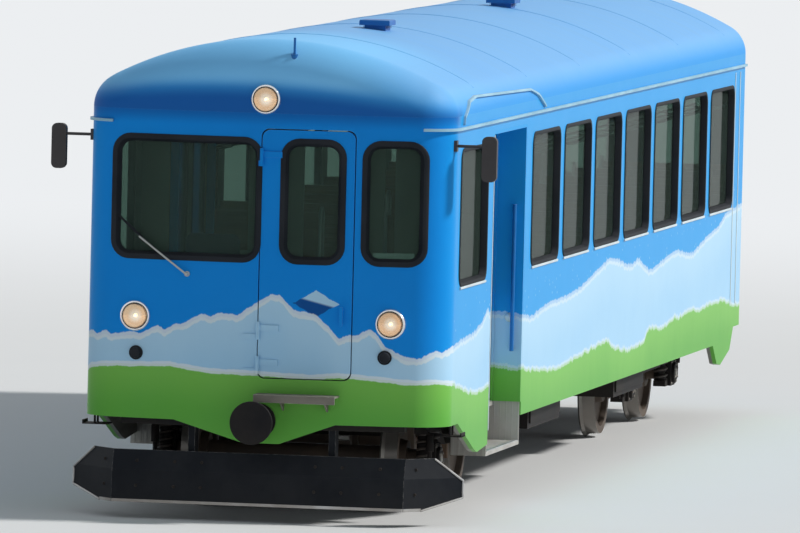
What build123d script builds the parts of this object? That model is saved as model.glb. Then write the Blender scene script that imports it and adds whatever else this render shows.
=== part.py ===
from build123d import *
import math
import os

# Driving trailer of a two-car rack railway railcar set: a steel body with a full-width
# driving cab at the front end, a recessed folding door with steps on each side, seven
# saloon windows a side, two four-wheel bogies with a rack brake pinion on the inner axle
# of each, a snow plough and a central disc buffer at both ends.
#
# Millimetres. The front looks along -Y, +X is the car's left-hand side as seen from the
# driver's seat, and Z is up. Heights in this script are above the rail head. Every shape
# is lifted by the flange height when it is written, so the car stands on its flanges at
# z = 0, and the origin is below the middle of the car.
# A "distance" d is measured back from the middle of the front face.

# Body shell
BODY_LENGTH = 13800
BODY_WIDTH = 2700
WALL = 60
FRONT_BOW = 146
FRONT_CORNER = 300
REAR_CORNER = 90
EAVES = 2950
ROOF_RISE = 530
ROOF_CORNER = 250
SKIRT_LOW = 400
SKIRT_SIDE = 600
SKIRT_FRONT = 700
SKIRT_DIP = 550
CAB_SPLIT = 450
REAR_SPLIT = 200
FLOOR_TOP = 1000
FLOOR_THICK = 50

# Side windows
FIRST_PILLAR = 277
PILLAR = 230
LAST_PILLAR = 653
WINDOW_COUNT = 7
WINDOW_SILL = 1720
WINDOW_BELOW_EAVES = 260
WINDOW_CORNER = 80
CAB_WINDOW_START = 560
CAB_WINDOW_WIDTH = 1090
GLASS_THICK = 8
GLASS_INSET = 44
END_GLASS_INSET = 26
GLASS_GAP = 0.3

# Front and rear end windows and the end doors, looked at from outside
END_WINDOW_ABOVE_SIDE = 170
END_WINDOW_BELOW_EAVES = 210
END_WINDOW_CORNER = 105
DRIVER_WINDOW = (-1115, -48)
DOOR_WINDOW = (150, 568)
MATE_WINDOW = (745, 1160)
FRONT_DOOR = (-20, 660)
REAR_DOOR = (-340, 340)
REAR_DOOR_WINDOW = (-210, 210)
REAR_WINDOW = (480, 1090)
END_DOOR_ABOVE_FLOOR = 30
END_DOOR_BELOW_EAVES = 120
END_DOOR_GAP = 8
END_DOOR_THICK = 42
END_DOOR_CORNER = 60
HINGE_R = 14
HINGE_OUT = 16
HINGE_LENGTH = 90
HINGE_SEAT = 40
HINGE_STRAP = 110
HINGE_STRAP_SHORT = 24
HINGE_ABOVE_BOTTOM = (110, 360)
HINGE_BELOW_TOP = 180

# Recessed side entrance with a two-leaf folding door
RECESS_FRONT = 1900
RECESS_REAR = 3300
RECESS_DEPTH = 235
RECESS_BELOW_EAVES = 160
JAMB = 30
LEAF_THICK = 30
LEAF_OFFSET = 3
LEAF_PIVOT_INSET = 38
LEAF_END_GAP = 6
LEAF_PIN_R = 8
STOP_GAP = 10
LEAF_FOOT_GAP = 22
LEAF_HEAD_GAP = 20
LEAF_STILE = 110
LEAF_TOP_RAIL = 120
LEAF_MIDDLE_RAIL = 120
LEAF_BOTTOM_RAIL = 128
LEAF_WINDOW_BELOW_SIDE = 220
LEAF_PANEL_DEPTH = 8
KNUCKLE_R = 6
KNUCKLE_GAP = 1
KNUCKLE_LENGTH = 60
KNUCKLE_ABOVE_BOTTOM = 98
KNUCKLE_BELOW_TOP = 60
THRESHOLD = 700
STEP_TREAD = 410
STEP_PLATE = 30
STEP_RISER_X = 1075
STEP_WELL_INNER = 430
LINING_DEPTH = 60

# Running gear
WHEEL_R = 380
FLANGE_HEIGHT = 28
BOGIE_OVERHANG = 2600
WHEELBASE = 2100
AXLE_R = 75
JOURNAL_R = 60
AXLE_BOX_X = (905, 1045)
FRAME_X = (925, 1015)
BACK_TO_BACK = 1360
TYRE_WIDTH = 130
PINION_TEETH = 20
RACK_PITCH = 100
PINION_WIDTH = 90
PINION_ADDENDUM = 30
PINION_DEDENDUM = 38
SPRING_TURNS = 4
PIVOT_R = 60
RUNNING_CLEARANCE = 0.1
CENTRE_PLATE_R = 300
CENTRE_PLATE_Z = 790
CENTRE_PLATE_GAP = 0.3
CROSS_BEAM_LOW = 860
SILL_BAYS = 6
SILL_WEB = 120
BAY_FROM_PIVOT = 490

# Equipment under the floor, between the bogies
WHEEL_CLEARANCE = 192
BOX_LENGTH = 1400
BOX_X = (640, 1240)
BOX_LOW = 430
BOX_BEAM_INSET = 50
TANK_R = 130
TANK_X = (-1060, -760)
TANK_Z = 640
COMPRESSOR_Y = (-350, 250)
COMPRESSOR_X = (-150, 250)
COMPRESSOR_Z = (480, 720)
COMPRESSOR_BARS = (-240, 140)

# Ends
BUFFER_HEIGHT = 715
BUFFER_R = 158
BUFFER_REACH = 300
BUFFER_HOUSING_R = 85
BUFFER_HOLE_R = 90
HEADLAMP_X = 944
HEADLAMP_Z = 1445
HEADLAMP_R = 112
TAIL_LAMP_X = 944
TAIL_LAMP_R = 80
ROOF_LAMP_ABOVE_EAVES = 100
ROOF_LAMP_R = 110
PLOUGH_HALF = 1450
PLOUGH_BLADE = 1080
PLOUGH_SWEEP = 400
PLOUGH_BOTTOM = 90
PLOUGH_TOP = 470
PLOUGH_PLATE = 14
PLOUGH_CUT = (190, 160)
PLOUGH_RISE = (260, 90)
VENTS = ((245, 3000), (235, 8420))
AERIAL = (190, 60)
MIRROR_X = 1595
MIRROR_BELOW_EAVES = 300
GUTTER_BELOW_EAVES = 98
GUTTER_PROUD = 24
DRIP_PROUD = 18
DRIP_THICK = 16
# columns: distance behind the front, height above the eaves
DRIP_LINE = ((575, -70), (600, -20), (850, 85), (1150, 112), (3410, 80), (3700, 35), (4030, -70))

# Inside
BENCH_INNER = 260
BENCH_SEAT = 440
BENCH_BACK = 1050
BENCH_DEPTH = 500
BENCH_LEG = (150, 210)
DRIVER_SEAT_X = (-870, -430)
DRIVER_SEAT_Y = (1000, 1400)
DRIVER_SEAT_TOP = 540
DESK_X = (-1200, -130)
DESK_DEPTH = (WALL + 60, 560)
DESK_TOP = 760
PARTITION = 30

FRONT = -BODY_LENGTH / 2
REAR = BODY_LENGTH / 2
HALF = BODY_WIDTH / 2
ROOF_CROWN = EAVES + ROOF_RISE
WINDOW_HEAD = EAVES - WINDOW_BELOW_EAVES
END_WINDOW_SILL = WINDOW_SILL + END_WINDOW_ABOVE_SIDE
END_WINDOW_HEAD = EAVES - END_WINDOW_BELOW_EAVES
END_DOOR_BOTTOM = FLOOR_TOP + END_DOOR_ABOVE_FLOOR
END_DOOR_TOP = EAVES - END_DOOR_BELOW_EAVES
HINGE_HEIGHTS = (*(END_DOOR_BOTTOM + rise for rise in HINGE_ABOVE_BOTTOM), END_DOOR_TOP - HINGE_BELOW_TOP)
RECESS_TOP = EAVES - RECESS_BELOW_EAVES
LEAF_BOTTOM = THRESHOLD + LEAF_FOOT_GAP
LEAF_TOP = RECESS_TOP - JAMB - LEAF_HEAD_GAP
LEAF_WINDOW_SILL = WINDOW_SILL - LEAF_WINDOW_BELOW_SIDE
LEAF_WINDOW_HEAD = LEAF_TOP - LEAF_TOP_RAIL
LEAF_PANEL_SILL = LEAF_BOTTOM + LEAF_BOTTOM_RAIL
LEAF_PANEL_HEAD = LEAF_WINDOW_SILL - LEAF_MIDDLE_RAIL
KNUCKLE_HEIGHTS = (
    LEAF_BOTTOM + KNUCKLE_ABOVE_BOTTOM,
    LEAF_WINDOW_SILL - LEAF_MIDDLE_RAIL / 2,
    LEAF_TOP - KNUCKLE_BELOW_TOP,
)
ROOF_LAMP_Z = EAVES + ROOF_LAMP_ABOVE_EAVES
MIRROR_HEIGHT = EAVES - MIRROR_BELOW_EAVES
GUTTER_HEIGHT = EAVES - GUTTER_BELOW_EAVES
DOOR_PLANE = HALF - RECESS_DEPTH
LEAF_FACE = DOOR_PLANE - LEAF_OFFSET
LEAF_SPAN = (RECESS_REAR - RECESS_FRONT - 2 * JAMB - LEAF_PIVOT_INSET - LEAF_END_GAP) / 2
WINDOW_FIRST = RECESS_REAR + FIRST_PILLAR
WINDOW_PITCH = (BODY_LENGTH - LAST_PILLAR - WINDOW_FIRST + PILLAR) / WINDOW_COUNT
WINDOW_WIDTH = WINDOW_PITCH - PILLAR
BOGIE_Y = {"front": FRONT + BOGIE_OVERHANG, "rear": REAR - BOGIE_OVERHANG}
# Y of the far ends of the underfloor equipment, clear of the inner wheels.
WHEEL_REACH = WHEELBASE / 2 + WHEEL_R + FLANGE_HEIGHT + WHEEL_CLEARANCE
BOX_Y = {
    "front": (BOGIE_Y["front"] + WHEEL_REACH, BOGIE_Y["front"] + WHEEL_REACH + BOX_LENGTH),
    "rear": (BOGIE_Y["rear"] - WHEEL_REACH - BOX_LENGTH, BOGIE_Y["rear"] - WHEEL_REACH),
}
CROSS_BEAM_Y = sorted(
    [0] + [y for low, high in BOX_Y.values() for y in (low + BOX_BEAM_INSET, high - BOX_BEAM_INSET)]
)
PINION_AXLE = {"front": 1, "rear": -1}
SADDLE_TOP = CENTRE_PLATE_Z - CENTRE_PLATE_GAP

# Radius of the roof's crown arc, tangent to the corner arc that springs at the eaves.
ROOF_R = ((HALF - ROOF_CORNER) ** 2 + (ROOF_CROWN - EAVES) ** 2 - ROOF_CORNER**2) / (
    2 * (ROOF_CROWN - EAVES - ROOF_CORNER)
)


def block(x, y, z):
    """Box between two limits on each axis, each given as (low, high)."""
    size = [abs(pair[1] - pair[0]) for pair in (x, y, z)]
    middle = [(pair[0] + pair[1]) / 2 for pair in (x, y, z)]
    return Pos(*middle) * Box(*size)


def both_sides(shape):
    """The shape and its mirror image across the car's long middle plane."""
    return [shape, mirror(shape, about=Plane.YZ)]


def rod_x(radius, x, y, z):
    """Round bar along X between the two values of x."""
    bar = Cylinder(radius, abs(x[1] - x[0]), rotation=(0, 90, 0))
    return Pos((x[0] + x[1]) / 2, y, z) * bar


def rod_y(radius, x, y, z):
    """Round bar along Y between the two values of y."""
    bar = Cylinder(radius, abs(y[1] - y[0]), rotation=(90, 0, 0))
    return Pos(x, (y[0] + y[1]) / 2, z) * bar


def rod_z(radius, x, y, z):
    """Round bar along Z between the two values of z."""
    return Pos(x, y, (z[0] + z[1]) / 2) * Cylinder(radius, abs(z[1] - z[0]))


def prism_yz(points, x):
    """Polygon given by (y, z) points, extruded between two values of x."""
    face = Plane.YZ * Polygon(*points, align=None)
    return Pos(min(x), 0, 0) * extrude(face, abs(x[1] - x[0]), dir=(1, 0, 0))


def prism_xz(points, y):
    """Polygon given by (x, z) points, extruded between two values of y."""
    face = make_face(Polyline(*[(px, 0, pz) for px, pz in points], close=True))
    return Pos(0, min(y), 0) * extrude(face, abs(y[1] - y[0]), dir=(0, 1, 0))


def rounded_x(y, z, radius, x):
    """Rounded rectangle in the YZ plane, extruded between two values of x."""
    face = Plane.YZ * RectangleRounded(y[1] - y[0], z[1] - z[0], radius)
    solid = extrude(face, abs(x[1] - x[0]), dir=(1, 0, 0))
    return Pos(min(x), (y[0] + y[1]) / 2, (z[0] + z[1]) / 2) * solid


def rounded_y(x, z, radius, y):
    """Rounded rectangle in the XZ plane, extruded between two values of y."""
    face = Plane.XZ * RectangleRounded(x[1] - x[0], z[1] - z[0], radius)
    solid = extrude(face, abs(y[1] - y[0]), dir=(0, 1, 0))
    return Pos((x[0] + x[1]) / 2, min(y), (z[0] + z[1]) / 2) * solid


def body_form(inset):
    """Body solid without openings, taken in by inset on every side but the bottom."""
    half = HALF - inset
    front = FRONT + inset
    rear = REAR - inset
    nose = ThreePointArc((-half, front + FRONT_BOW), (0, front), (half, front + FRONT_BOW))
    sides = Polyline(
        (half, front + FRONT_BOW), (half, rear), (-half, rear), (-half, front + FRONT_BOW)
    )
    plan = make_face(nose + sides)
    plan = fillet(plan.vertices().group_by(Axis.Y)[0], FRONT_CORNER - inset)
    solid = extrude(plan, ROOF_CROWN - SKIRT_LOW + WALL)
    solid = Pos(0, 0, SKIRT_LOW) * solid
    crown = Cylinder(ROOF_R - inset, 2 * BODY_LENGTH, rotation=(90, 0, 0))
    solid = solid & (Pos(0, 0, ROOF_CROWN - ROOF_R) * crown)
    low = EAVES - WALL
    top_edges = [
        e
        for e in solid.edges()
        if e.center().Z > low and e.center().Y < rear - 1 and e.bounding_box().min.Z > low
    ]
    solid = fillet(top_edges, ROOF_CORNER - inset)
    end = [
        e
        for e in solid.edges()
        if abs(e.bounding_box().min.Y - rear) < 0.1 and e.center().Z > SKIRT_LOW + 1
    ]
    return fillet(end, max(REAR_CORNER - inset, 10))


OUTER = body_form(0)
SHELL = OUTER - body_form(WALL)
GLASS_LAYER = body_form(GLASS_INSET) - body_form(GLASS_INSET + GLASS_THICK)
GLASS_LAYER_END = body_form(END_GLASS_INSET) - body_form(END_GLASS_INSET + GLASS_THICK)


def at(d):
    """Y of a point at distance d behind the front face."""
    return FRONT + d


def window_starts():
    """Distance of each saloon window's front edge."""
    return [WINDOW_FIRST + k * WINDOW_PITCH for k in range(WINDOW_COUNT)]


def side_windows(grow, x):
    """Prisms of the cab and saloon side windows, grown by grow all round."""
    spans = [(CAB_WINDOW_START, CAB_WINDOW_WIDTH)]
    spans += [(d, WINDOW_WIDTH) for d in window_starts()]
    return [
        rounded_x(
            (at(d) - grow, at(d + width) + grow),
            (WINDOW_SILL - grow, WINDOW_HEAD + grow),
            WINDOW_CORNER + grow,
            x,
        )
        for d, width in spans
    ]


def end_windows(spans, grow, y):
    """Prisms of end windows, grown by grow all round."""
    return [
        rounded_y(
            (low - grow, high + grow),
            (END_WINDOW_SILL - grow, END_WINDOW_HEAD + grow),
            END_WINDOW_CORNER + grow,
            y,
        )
        for low, high in spans
    ]


def skirt_cut():
    """What is cut away below the body's lower edge along both sides."""
    line = [
        (FRONT - WALL, SKIRT_FRONT),
        (at(650), SKIRT_FRONT),
        (at(1340), 470),
        (at(1480), 440),
        (at(RECESS_FRONT), 470),
        (at(RECESS_REAR), SKIRT_SIDE),
        (REAR - 1420, SKIRT_SIDE),
        (REAR - 1200, 440),
        (REAR - 1020, 420),
        (REAR - 550, 520),
        (REAR - 380, SKIRT_FRONT),
        (REAR + WALL, SKIRT_FRONT),
        (REAR + WALL, 0),
        (FRONT - WALL, 0),
    ]
    return prism_yz(line, (-HALF - WALL, HALF + WALL))


def apron_dip():
    """Part of the front below the general apron line that stays, behind the buffer."""
    line = [(-640, SKIRT_FRONT), (-120, SKIRT_DIP), (150, SKIRT_DIP), (560, SKIRT_FRONT)]
    return prism_xz([*line, (560, 2 * SKIRT_FRONT), (-640, 2 * SKIRT_FRONT)], (FRONT - 1, at(CAB_SPLIT)))


def recess_void():
    """Space of the right-hand entrance, from the outside in to the inner wall face."""
    return block(
        (DOOR_PLANE - 2 * WALL, HALF + WALL),
        (at(RECESS_FRONT), at(RECESS_REAR)),
        (0, RECESS_TOP),
    )


def end_doorway(door, y):
    """Prism of an end doorway, wider and taller than the door by the door gap."""
    gap = END_DOOR_GAP
    return rounded_y(
        (door[0] - gap, door[1] + gap),
        (END_DOOR_BOTTOM - gap, END_DOOR_TOP + gap),
        END_DOOR_CORNER,
        y,
    )


def add_hinges(panel, door, hinge_side, outside):
    """The panel with the fixed half of each door hinge, a knuckle on a strap.

    A hinge at the windows' height has a short strap, which stays on the pillar.
    """
    face = FRONT if outside < 0 else REAR
    away = -1 if hinge_side == 0 else 1
    x = door[hinge_side]
    for height in HINGE_HEIGHTS:
        top = height - HINGE_LENGTH / 2 - GLASS_GAP
        beside_window = END_WINDOW_SILL < height < END_WINDOW_HEAD
        strap = HINGE_STRAP_SHORT if beside_window else HINGE_STRAP
        panel = panel + rod_z(HINGE_R, x, face + outside * HINGE_OUT, (top - HINGE_SEAT, top))
        panel = panel + block(
            sorted((x + away * (END_DOOR_GAP + 1), x + away * strap)),
            sorted((face + outside * 10, face - outside * 12)),
            (top - HINGE_SEAT, top),
        )
        panel = panel + block(
            sorted((x, x + away * (END_DOOR_GAP + 2))),
            sorted((face + outside * HINGE_OUT, face + outside * 3)),
            (top - HINGE_SEAT, top),
        )
    return panel


def make_shell_panels():
    """Front, sides, rear and roof, cut from one shell at flat joints."""
    wide = (-HALF - WALL, HALF + WALL)
    below = SHELL - block(wide, (FRONT - WALL, REAR + WALL), (EAVES, ROOF_CROWN + WALL))
    dip = below & apron_dip()
    below = below - skirt_cut()
    front_cut = (FRONT - WALL, at(CAB_SPLIT))
    front = below & block(wide, front_cut, (0, EAVES))
    front = front + dip
    front = front - end_windows([DRIVER_WINDOW, MATE_WINDOW], 0, front_cut)
    front = front - end_doorway(FRONT_DOOR, front_cut)
    front = front - rod_y(BUFFER_HOLE_R, 0, front_cut, BUFFER_HEIGHT)
    front = add_hinges(front, FRONT_DOOR, 0, -1)
    rear_cut = (REAR - REAR_SPLIT, REAR + WALL)
    rear = below & block(wide, rear_cut, (0, EAVES))
    spans = [REAR_WINDOW, (-REAR_WINDOW[1], -REAR_WINDOW[0])]
    rear = rear - end_windows(spans, 0, rear_cut)
    rear = rear - end_doorway(REAR_DOOR, rear_cut)
    rear = rear - rod_y(BUFFER_HOLE_R, 0, rear_cut, BUFFER_HEIGHT)
    rear = add_hinges(rear, REAR_DOOR, 0, 1)
    side = below & block((0, HALF + WALL), (at(CAB_SPLIT), REAR - REAR_SPLIT), (0, EAVES))
    side = side - side_windows(0, (HALF - 2 * WALL, HALF + WALL)) - recess_void()
    roof = SHELL & block(wide, (FRONT - WALL, REAR + WALL), (EAVES, ROOF_CROWN + WALL))
    return {
        "front_end": front,
        "rear_end": rear,
        "side_right": side,
        "side_left": mirror(side, about=Plane.YZ),
        "roof": roof,
    }


def make_glass():
    """Fixed panes of the windscreens, side windows and rear windows."""
    seat = -GLASS_GAP
    panes = end_windows([DRIVER_WINDOW, MATE_WINDOW], seat, (FRONT - WALL, at(CAB_SPLIT)))
    spans = [REAR_WINDOW, (-REAR_WINDOW[1], -REAR_WINDOW[0])]
    panes += end_windows(spans, seat, (REAR - REAR_SPLIT, REAR + WALL))
    panes = [GLASS_LAYER & pane for pane in panes]
    inner = HALF - GLASS_INSET
    for pane in side_windows(seat, (inner - GLASS_THICK, inner)):
        panes += both_sides(pane)
    return Compound(panes)


def front_bow(x, outside=-1):
    """How far the outer face lies behind its middle at x; the rear end is flat."""
    return FRONT_BOW * (x / HALF) ** 2 if outside < 0 else 0


def make_end_door(door, window, hinge_side, outside):
    """One end door with its pane, its hinge knuckles and its handle.

    hinge_side is 0 for the hinge at the door's low X edge and 1 at its high X edge.
    outside is -1 at the front and 1 at the rear.
    """
    y_cut = (FRONT - WALL, at(CAB_SPLIT)) if outside < 0 else (REAR - REAR_SPLIT, REAR + WALL)
    slab = OUTER - body_form(END_DOOR_THICK)
    body = slab & rounded_y(door, (END_DOOR_BOTTOM, END_DOOR_TOP), END_DOOR_CORNER, y_cut)
    body = body - end_windows([window], 0, y_cut)
    pane = GLASS_LAYER_END & end_windows([window], -GLASS_GAP, y_cut)[0]
    face = FRONT if outside < 0 else REAR
    inward = 1 if hinge_side == 0 else -1
    x_hinge = door[hinge_side]
    for height in HINGE_HEIGHTS:
        span = (height - HINGE_LENGTH / 2, height + HINGE_LENGTH / 2)
        body = body + rod_z(HINGE_R, x_hinge, face + outside * HINGE_OUT, span)
        strap = block(
            sorted((x_hinge, x_hinge + inward * 150)),
            sorted((face + outside * 10, face - outside * 12)),
            (height - 22, height + 22),
        )
        body = body + strap
    x_grip = door[1 - hinge_side] - inward * 70
    y_grip = face - outside * front_bow(x_grip, outside)
    grip = block(
        (x_grip - 12, x_grip + 12), sorted((y_grip + outside * 32, y_grip + outside * 46)), (1420, 1560)
    )
    body = body + grip
    for z in (1440, 1540):
        body = body + rod_y(9, x_grip, sorted((y_grip - outside * 10, y_grip + outside * 40)), z)
    return body, pane


def add_knuckles(leaf, axis_y, towards, raised):
    """The leaf with its knuckles on the fold line, notched round the other leaf's knuckles.

    towards is 1 where the leaf lies behind the fold line and -1 where it lies in front.
    raised tells whether its knuckles are the upper ones of each pair.
    """
    for height in KNUCKLE_HEIGHTS:
        upper = (height + GLASS_GAP, height + KNUCKLE_LENGTH)
        lower = (height - KNUCKLE_LENGTH, height - GLASS_GAP)
        own, other = (upper, lower) if raised else (lower, upper)
        room = (other[0] - 2 * KNUCKLE_GAP, other[1] + 2 * KNUCKLE_GAP)
        if raised:
            room = (room[0], height)
        else:
            room = (height, room[1])
        leaf = leaf - rod_z(KNUCKLE_R + KNUCKLE_GAP, LEAF_FACE, axis_y, room)
        leaf = leaf + rod_z(KNUCKLE_R, LEAF_FACE, axis_y, own)
        leaf = leaf + block(
            (LEAF_FACE - KNUCKLE_R, LEAF_FACE), sorted((axis_y, axis_y + towards * 4 * KNUCKLE_R)), own
        )
    return leaf


def make_leaf(start, end, pins):
    """Door leaf of the right-hand side and its pane.

    start and end are the leaf's edges along Y. pins lists the (x, y) of the pins that
    hold it between the threshold and the head of the recess.
    """
    x = (LEAF_FACE - LEAF_THICK, LEAF_FACE)
    leaf = block(x, (start, end), (LEAF_BOTTOM, LEAF_TOP))
    y_open = (start + LEAF_STILE, end - LEAF_STILE)
    beyond = (x[0] - 5, x[1] + 5)
    leaf = leaf - rounded_x(y_open, (LEAF_WINDOW_SILL, LEAF_WINDOW_HEAD), WINDOW_CORNER, beyond)
    leaf = leaf - rounded_x(
        y_open, (LEAF_PANEL_SILL, LEAF_PANEL_HEAD), WINDOW_CORNER / 2, (x[1] - LEAF_PANEL_DEPTH, beyond[1])
    )
    for px, py in pins:
        leaf = leaf + rod_z(LEAF_PIN_R, px, py, (LEAF_TOP - 10, RECESS_TOP - JAMB - GLASS_GAP))
        leaf = leaf + rod_z(LEAF_PIN_R, px, py, (THRESHOLD + GLASS_GAP, LEAF_BOTTOM + 10))
    middle = (x[0] + x[1]) / 2
    pane = rounded_x(
        (y_open[0] + GLASS_GAP, y_open[1] - GLASS_GAP),
        (LEAF_WINDOW_SILL + GLASS_GAP, LEAF_WINDOW_HEAD - GLASS_GAP),
        WINDOW_CORNER - GLASS_GAP,
        (middle - GLASS_THICK / 2, middle + GLASS_THICK / 2),
    )
    return leaf, pane


def make_leaves():
    """Front and rear leaf of the right-hand door, each with its pane.

    The front leaf turns on the jamb, the rear leaf turns on the front leaf's free edge
    and its far end is guided along the head of the recess.
    """
    first = at(RECESS_FRONT) + JAMB + LEAF_PIVOT_INSET
    second = first + LEAF_SPAN
    last = second + LEAF_SPAN
    front, front_pane = make_leaf(first, second - LEAF_OFFSET, [(LEAF_FACE, first)])
    guide = (LEAF_FACE - LEAF_THICK / 2, last - 2 * LEAF_PIN_R)
    rear, rear_pane = make_leaf(second + LEAF_OFFSET, last, [guide])
    front = add_knuckles(front, second, -1, False)
    rear = add_knuckles(rear, second, 1, True)
    return {"front": (front, front_pane), "rear": (rear, rear_pane)}


def make_entrance():
    """Lining of the right-hand recess with its door stops, and the steps with their well."""
    y0, y1 = at(RECESS_FRONT), at(RECESS_REAR)
    inner = LEAF_FACE - LEAF_THICK - LINING_DEPTH
    outer = HALF - GLASS_GAP
    stop = (DOOR_PLANE + STOP_GAP, DOOR_PLANE + STOP_GAP + 14)
    lining = block((inner, outer), (y0, y1), (RECESS_TOP - JAMB, RECESS_TOP))
    lining = lining + block((inner, outer), (y0, y0 + JAMB), (THRESHOLD, RECESS_TOP))
    lining = lining + block((inner, outer), (y1 - JAMB, y1), (THRESHOLD, RECESS_TOP))
    stop_z = (THRESHOLD, RECESS_TOP - JAMB + 1)
    lining = lining + block(stop, (y0 + JAMB - 1, y0 + JAMB + LEAF_PIVOT_INSET + 20), stop_z)
    lining = lining + block(stop, (y1 - JAMB - 30, y1 - JAMB + 1), stop_z)
    low = STEP_TREAD - STEP_PLATE
    sill = THRESHOLD - STEP_PLATE
    steps = block((STEP_RISER_X, HALF - 10), (y0, y1), (low, STEP_TREAD))
    steps = steps + block((STEP_RISER_X, STEP_RISER_X + 12), (y0, y1), (low, THRESHOLD))
    steps = steps + block((STEP_WELL_INNER, DOOR_PLANE + STOP_GAP + 20), (y0, y1), (sill, THRESHOLD))
    steps = steps + block((STEP_WELL_INNER, STEP_WELL_INNER + 12), (y0, y1), (sill, FLOOR_TOP))
    for y in ((y0, y0 + 12), (y1 - 12, y1)):
        steps = steps + block((STEP_WELL_INNER, inner), y, (sill, FLOOR_TOP))
    for y in ((y0, y0 + 12), (y1 - 12, y1)):
        steps = steps + block((STEP_RISER_X, HALF - 10), y, (low, THRESHOLD))
    return lining, steps


def make_floor():
    """Floor plate with step wells, and the steel underframe below it."""
    side = HALF - WALL - GLASS_GAP
    z = (FLOOR_TOP - FLOOR_THICK, FLOOR_TOP)
    inside = body_form(WALL + GLASS_GAP)
    floor = inside & block((-side, side), (FRONT, REAR), z)
    well = block((STEP_WELL_INNER, HALF), (at(RECESS_FRONT), at(RECESS_REAR)), (z[0] - 1, z[1] + 1))
    for cut in both_sides(well):
        floor = floor - cut
    beam_z = (CENTRE_PLATE_Z + 20, z[0])
    frame = block((-360, 360), (at(250), REAR - 150), beam_z)
    first = BOGIE_Y["front"] + BAY_FROM_PIVOT
    bay = (BOGIE_Y["rear"] - BAY_FROM_PIVOT - first + SILL_WEB) / SILL_BAYS
    for k in range(SILL_BAYS):
        y0 = first + k * bay
        frame = frame - block((-300, 300), (y0, y0 + bay - SILL_WEB), (0, FLOOR_TOP))
    for y in CROSS_BEAM_Y:
        frame = frame + block((-side, side), (y - 40, y + 40), (CROSS_BEAM_LOW, beam_z[1]))
    for end in BOGIE_Y.values():
        frame = frame + rod_z(CENTRE_PLATE_R, 0, end, (CENTRE_PLATE_Z, beam_z[1]))
        frame = frame + rod_z(PIVOT_R, 0, end, (SADDLE_TOP - 190, beam_z[1]))
    for y in ((at(WALL), at(250)), (REAR - 230, REAR - WALL)):
        frame = frame + block((-1050, 1050), y, (BUFFER_HEIGHT - 60, beam_z[1]))
    return floor, frame & inside


def wheel_profile():
    """Half section of one wheel as (x, r): tread, flange, web and hub."""
    back = BACK_TO_BACK / 2
    face = back + TYRE_WIDTH
    rim = WHEEL_R - 65
    return [
        (back, AXLE_R - 5),
        (back - 15, AXLE_R - 5),
        (back - 15, 125),
        (back + 45, 135),
        (back + 45, rim - 15),
        (back, rim),
        (back, WHEEL_R + 12),
        (back + 14, WHEEL_R + FLANGE_HEIGHT),
        (back + 36, WHEEL_R + 2),
        (face, WHEEL_R - 5),
        (face, rim),
        (back + 85, rim - 15),
        (back + 75, 135),
        (face + 15, 120),
        (face + 15, AXLE_R - 5),
    ]


def make_wheelset(y):
    """Axle with two wheels pressed on it."""
    half = wheel_profile()
    face = make_face(Polyline(*[(x, 0, r) for x, r in half], close=True))
    wheel = revolve(face, Axis.X)
    axle = Cylinder(AXLE_R, BACK_TO_BACK + 2 * TYRE_WIDTH - 20, rotation=(0, 90, 0))
    journal = Cylinder(JOURNAL_R, 2 * AXLE_BOX_X[1] - 30, rotation=(0, 90, 0))
    whole = axle + journal + wheel + mirror(wheel, about=Plane.YZ)
    return Pos(0, y, WHEEL_R) * whole


def make_pinion(y):
    """Rack brake pinion: straight-flanked teeth round a disc with lightening holes."""
    pitch_r = PINION_TEETH * RACK_PITCH / (2 * math.pi)
    tip, root = pitch_r + PINION_ADDENDUM, pitch_r - PINION_DEDENDUM
    points = []
    step = 360 / PINION_TEETH
    # columns: share of the tooth pitch on each side of its middle, radius
    tooth = [(-0.36, root), (-0.25, pitch_r), (-0.13, tip), (0.13, tip), (0.25, pitch_r), (0.36, root)]
    for k in range(PINION_TEETH):
        for share, radius in tooth:
            angle = math.radians((k + share) * step)
            points.append((radius * math.sin(angle), radius * math.cos(angle)))
    face = Plane.YZ * make_face(Polyline(*points, close=True))
    disc = extrude(face, PINION_WIDTH / 2, dir=(1, 0, 0), both=True)
    disc = disc - Cylinder(AXLE_R, 2 * PINION_WIDTH, rotation=(0, 90, 0))
    hub = Cylinder(AXLE_R + 55, PINION_WIDTH + 50, rotation=(0, 90, 0))
    hub = hub - Cylinder(AXLE_R, 2 * PINION_WIDTH, rotation=(0, 90, 0))
    for side in (-1, 1):
        hollow = Cylinder(root - 45, 30, rotation=(0, 90, 0))
        disc = disc - Pos(side * PINION_WIDTH / 2, 0, 0) * hollow
    for k in range(6):
        angle = math.radians(60 * k + 30)
        hole = Cylinder(38, 2 * PINION_WIDTH, rotation=(0, 90, 0))
        disc = disc - Pos(0, 190 * math.sin(angle), 190 * math.cos(angle)) * hole
    return Pos(0, y, WHEEL_R) * (disc + hub)


def make_bogie_frame(y):
    """H-shaped frame: side members raised over the axles and a transom with the pivot bore."""
    a = WHEELBASE / 2
    outline = [
        (-a - 330, 575),
        (-a - 330, 640),
        (-a - 230, 690),
        (-a + 205, 690),
        (-a + 400, 600),
        (a - 400, 600),
        (a - 205, 690),
        (a + 230, 690),
        (a + 330, 640),
        (a + 330, 575),
        (a - 250, 575),
        (a - 480, 450),
        (480 - a, 450),
        (250 - a, 575),
    ]
    side = prism_yz([(y + dy, z) for dy, z in outline], FRAME_X)
    frame = block((-FRAME_X[0] - 5, FRAME_X[0] + 5), (y - 210, y + 210), (465, 600))
    for piece in both_sides(side):
        frame = frame + piece
    frame = frame + rod_z(CENTRE_PLATE_R, 0, y, (590, SADDLE_TOP))
    return frame - rod_z(PIVOT_R + RUNNING_CLEARANCE, 0, y, (300, 900))


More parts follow.
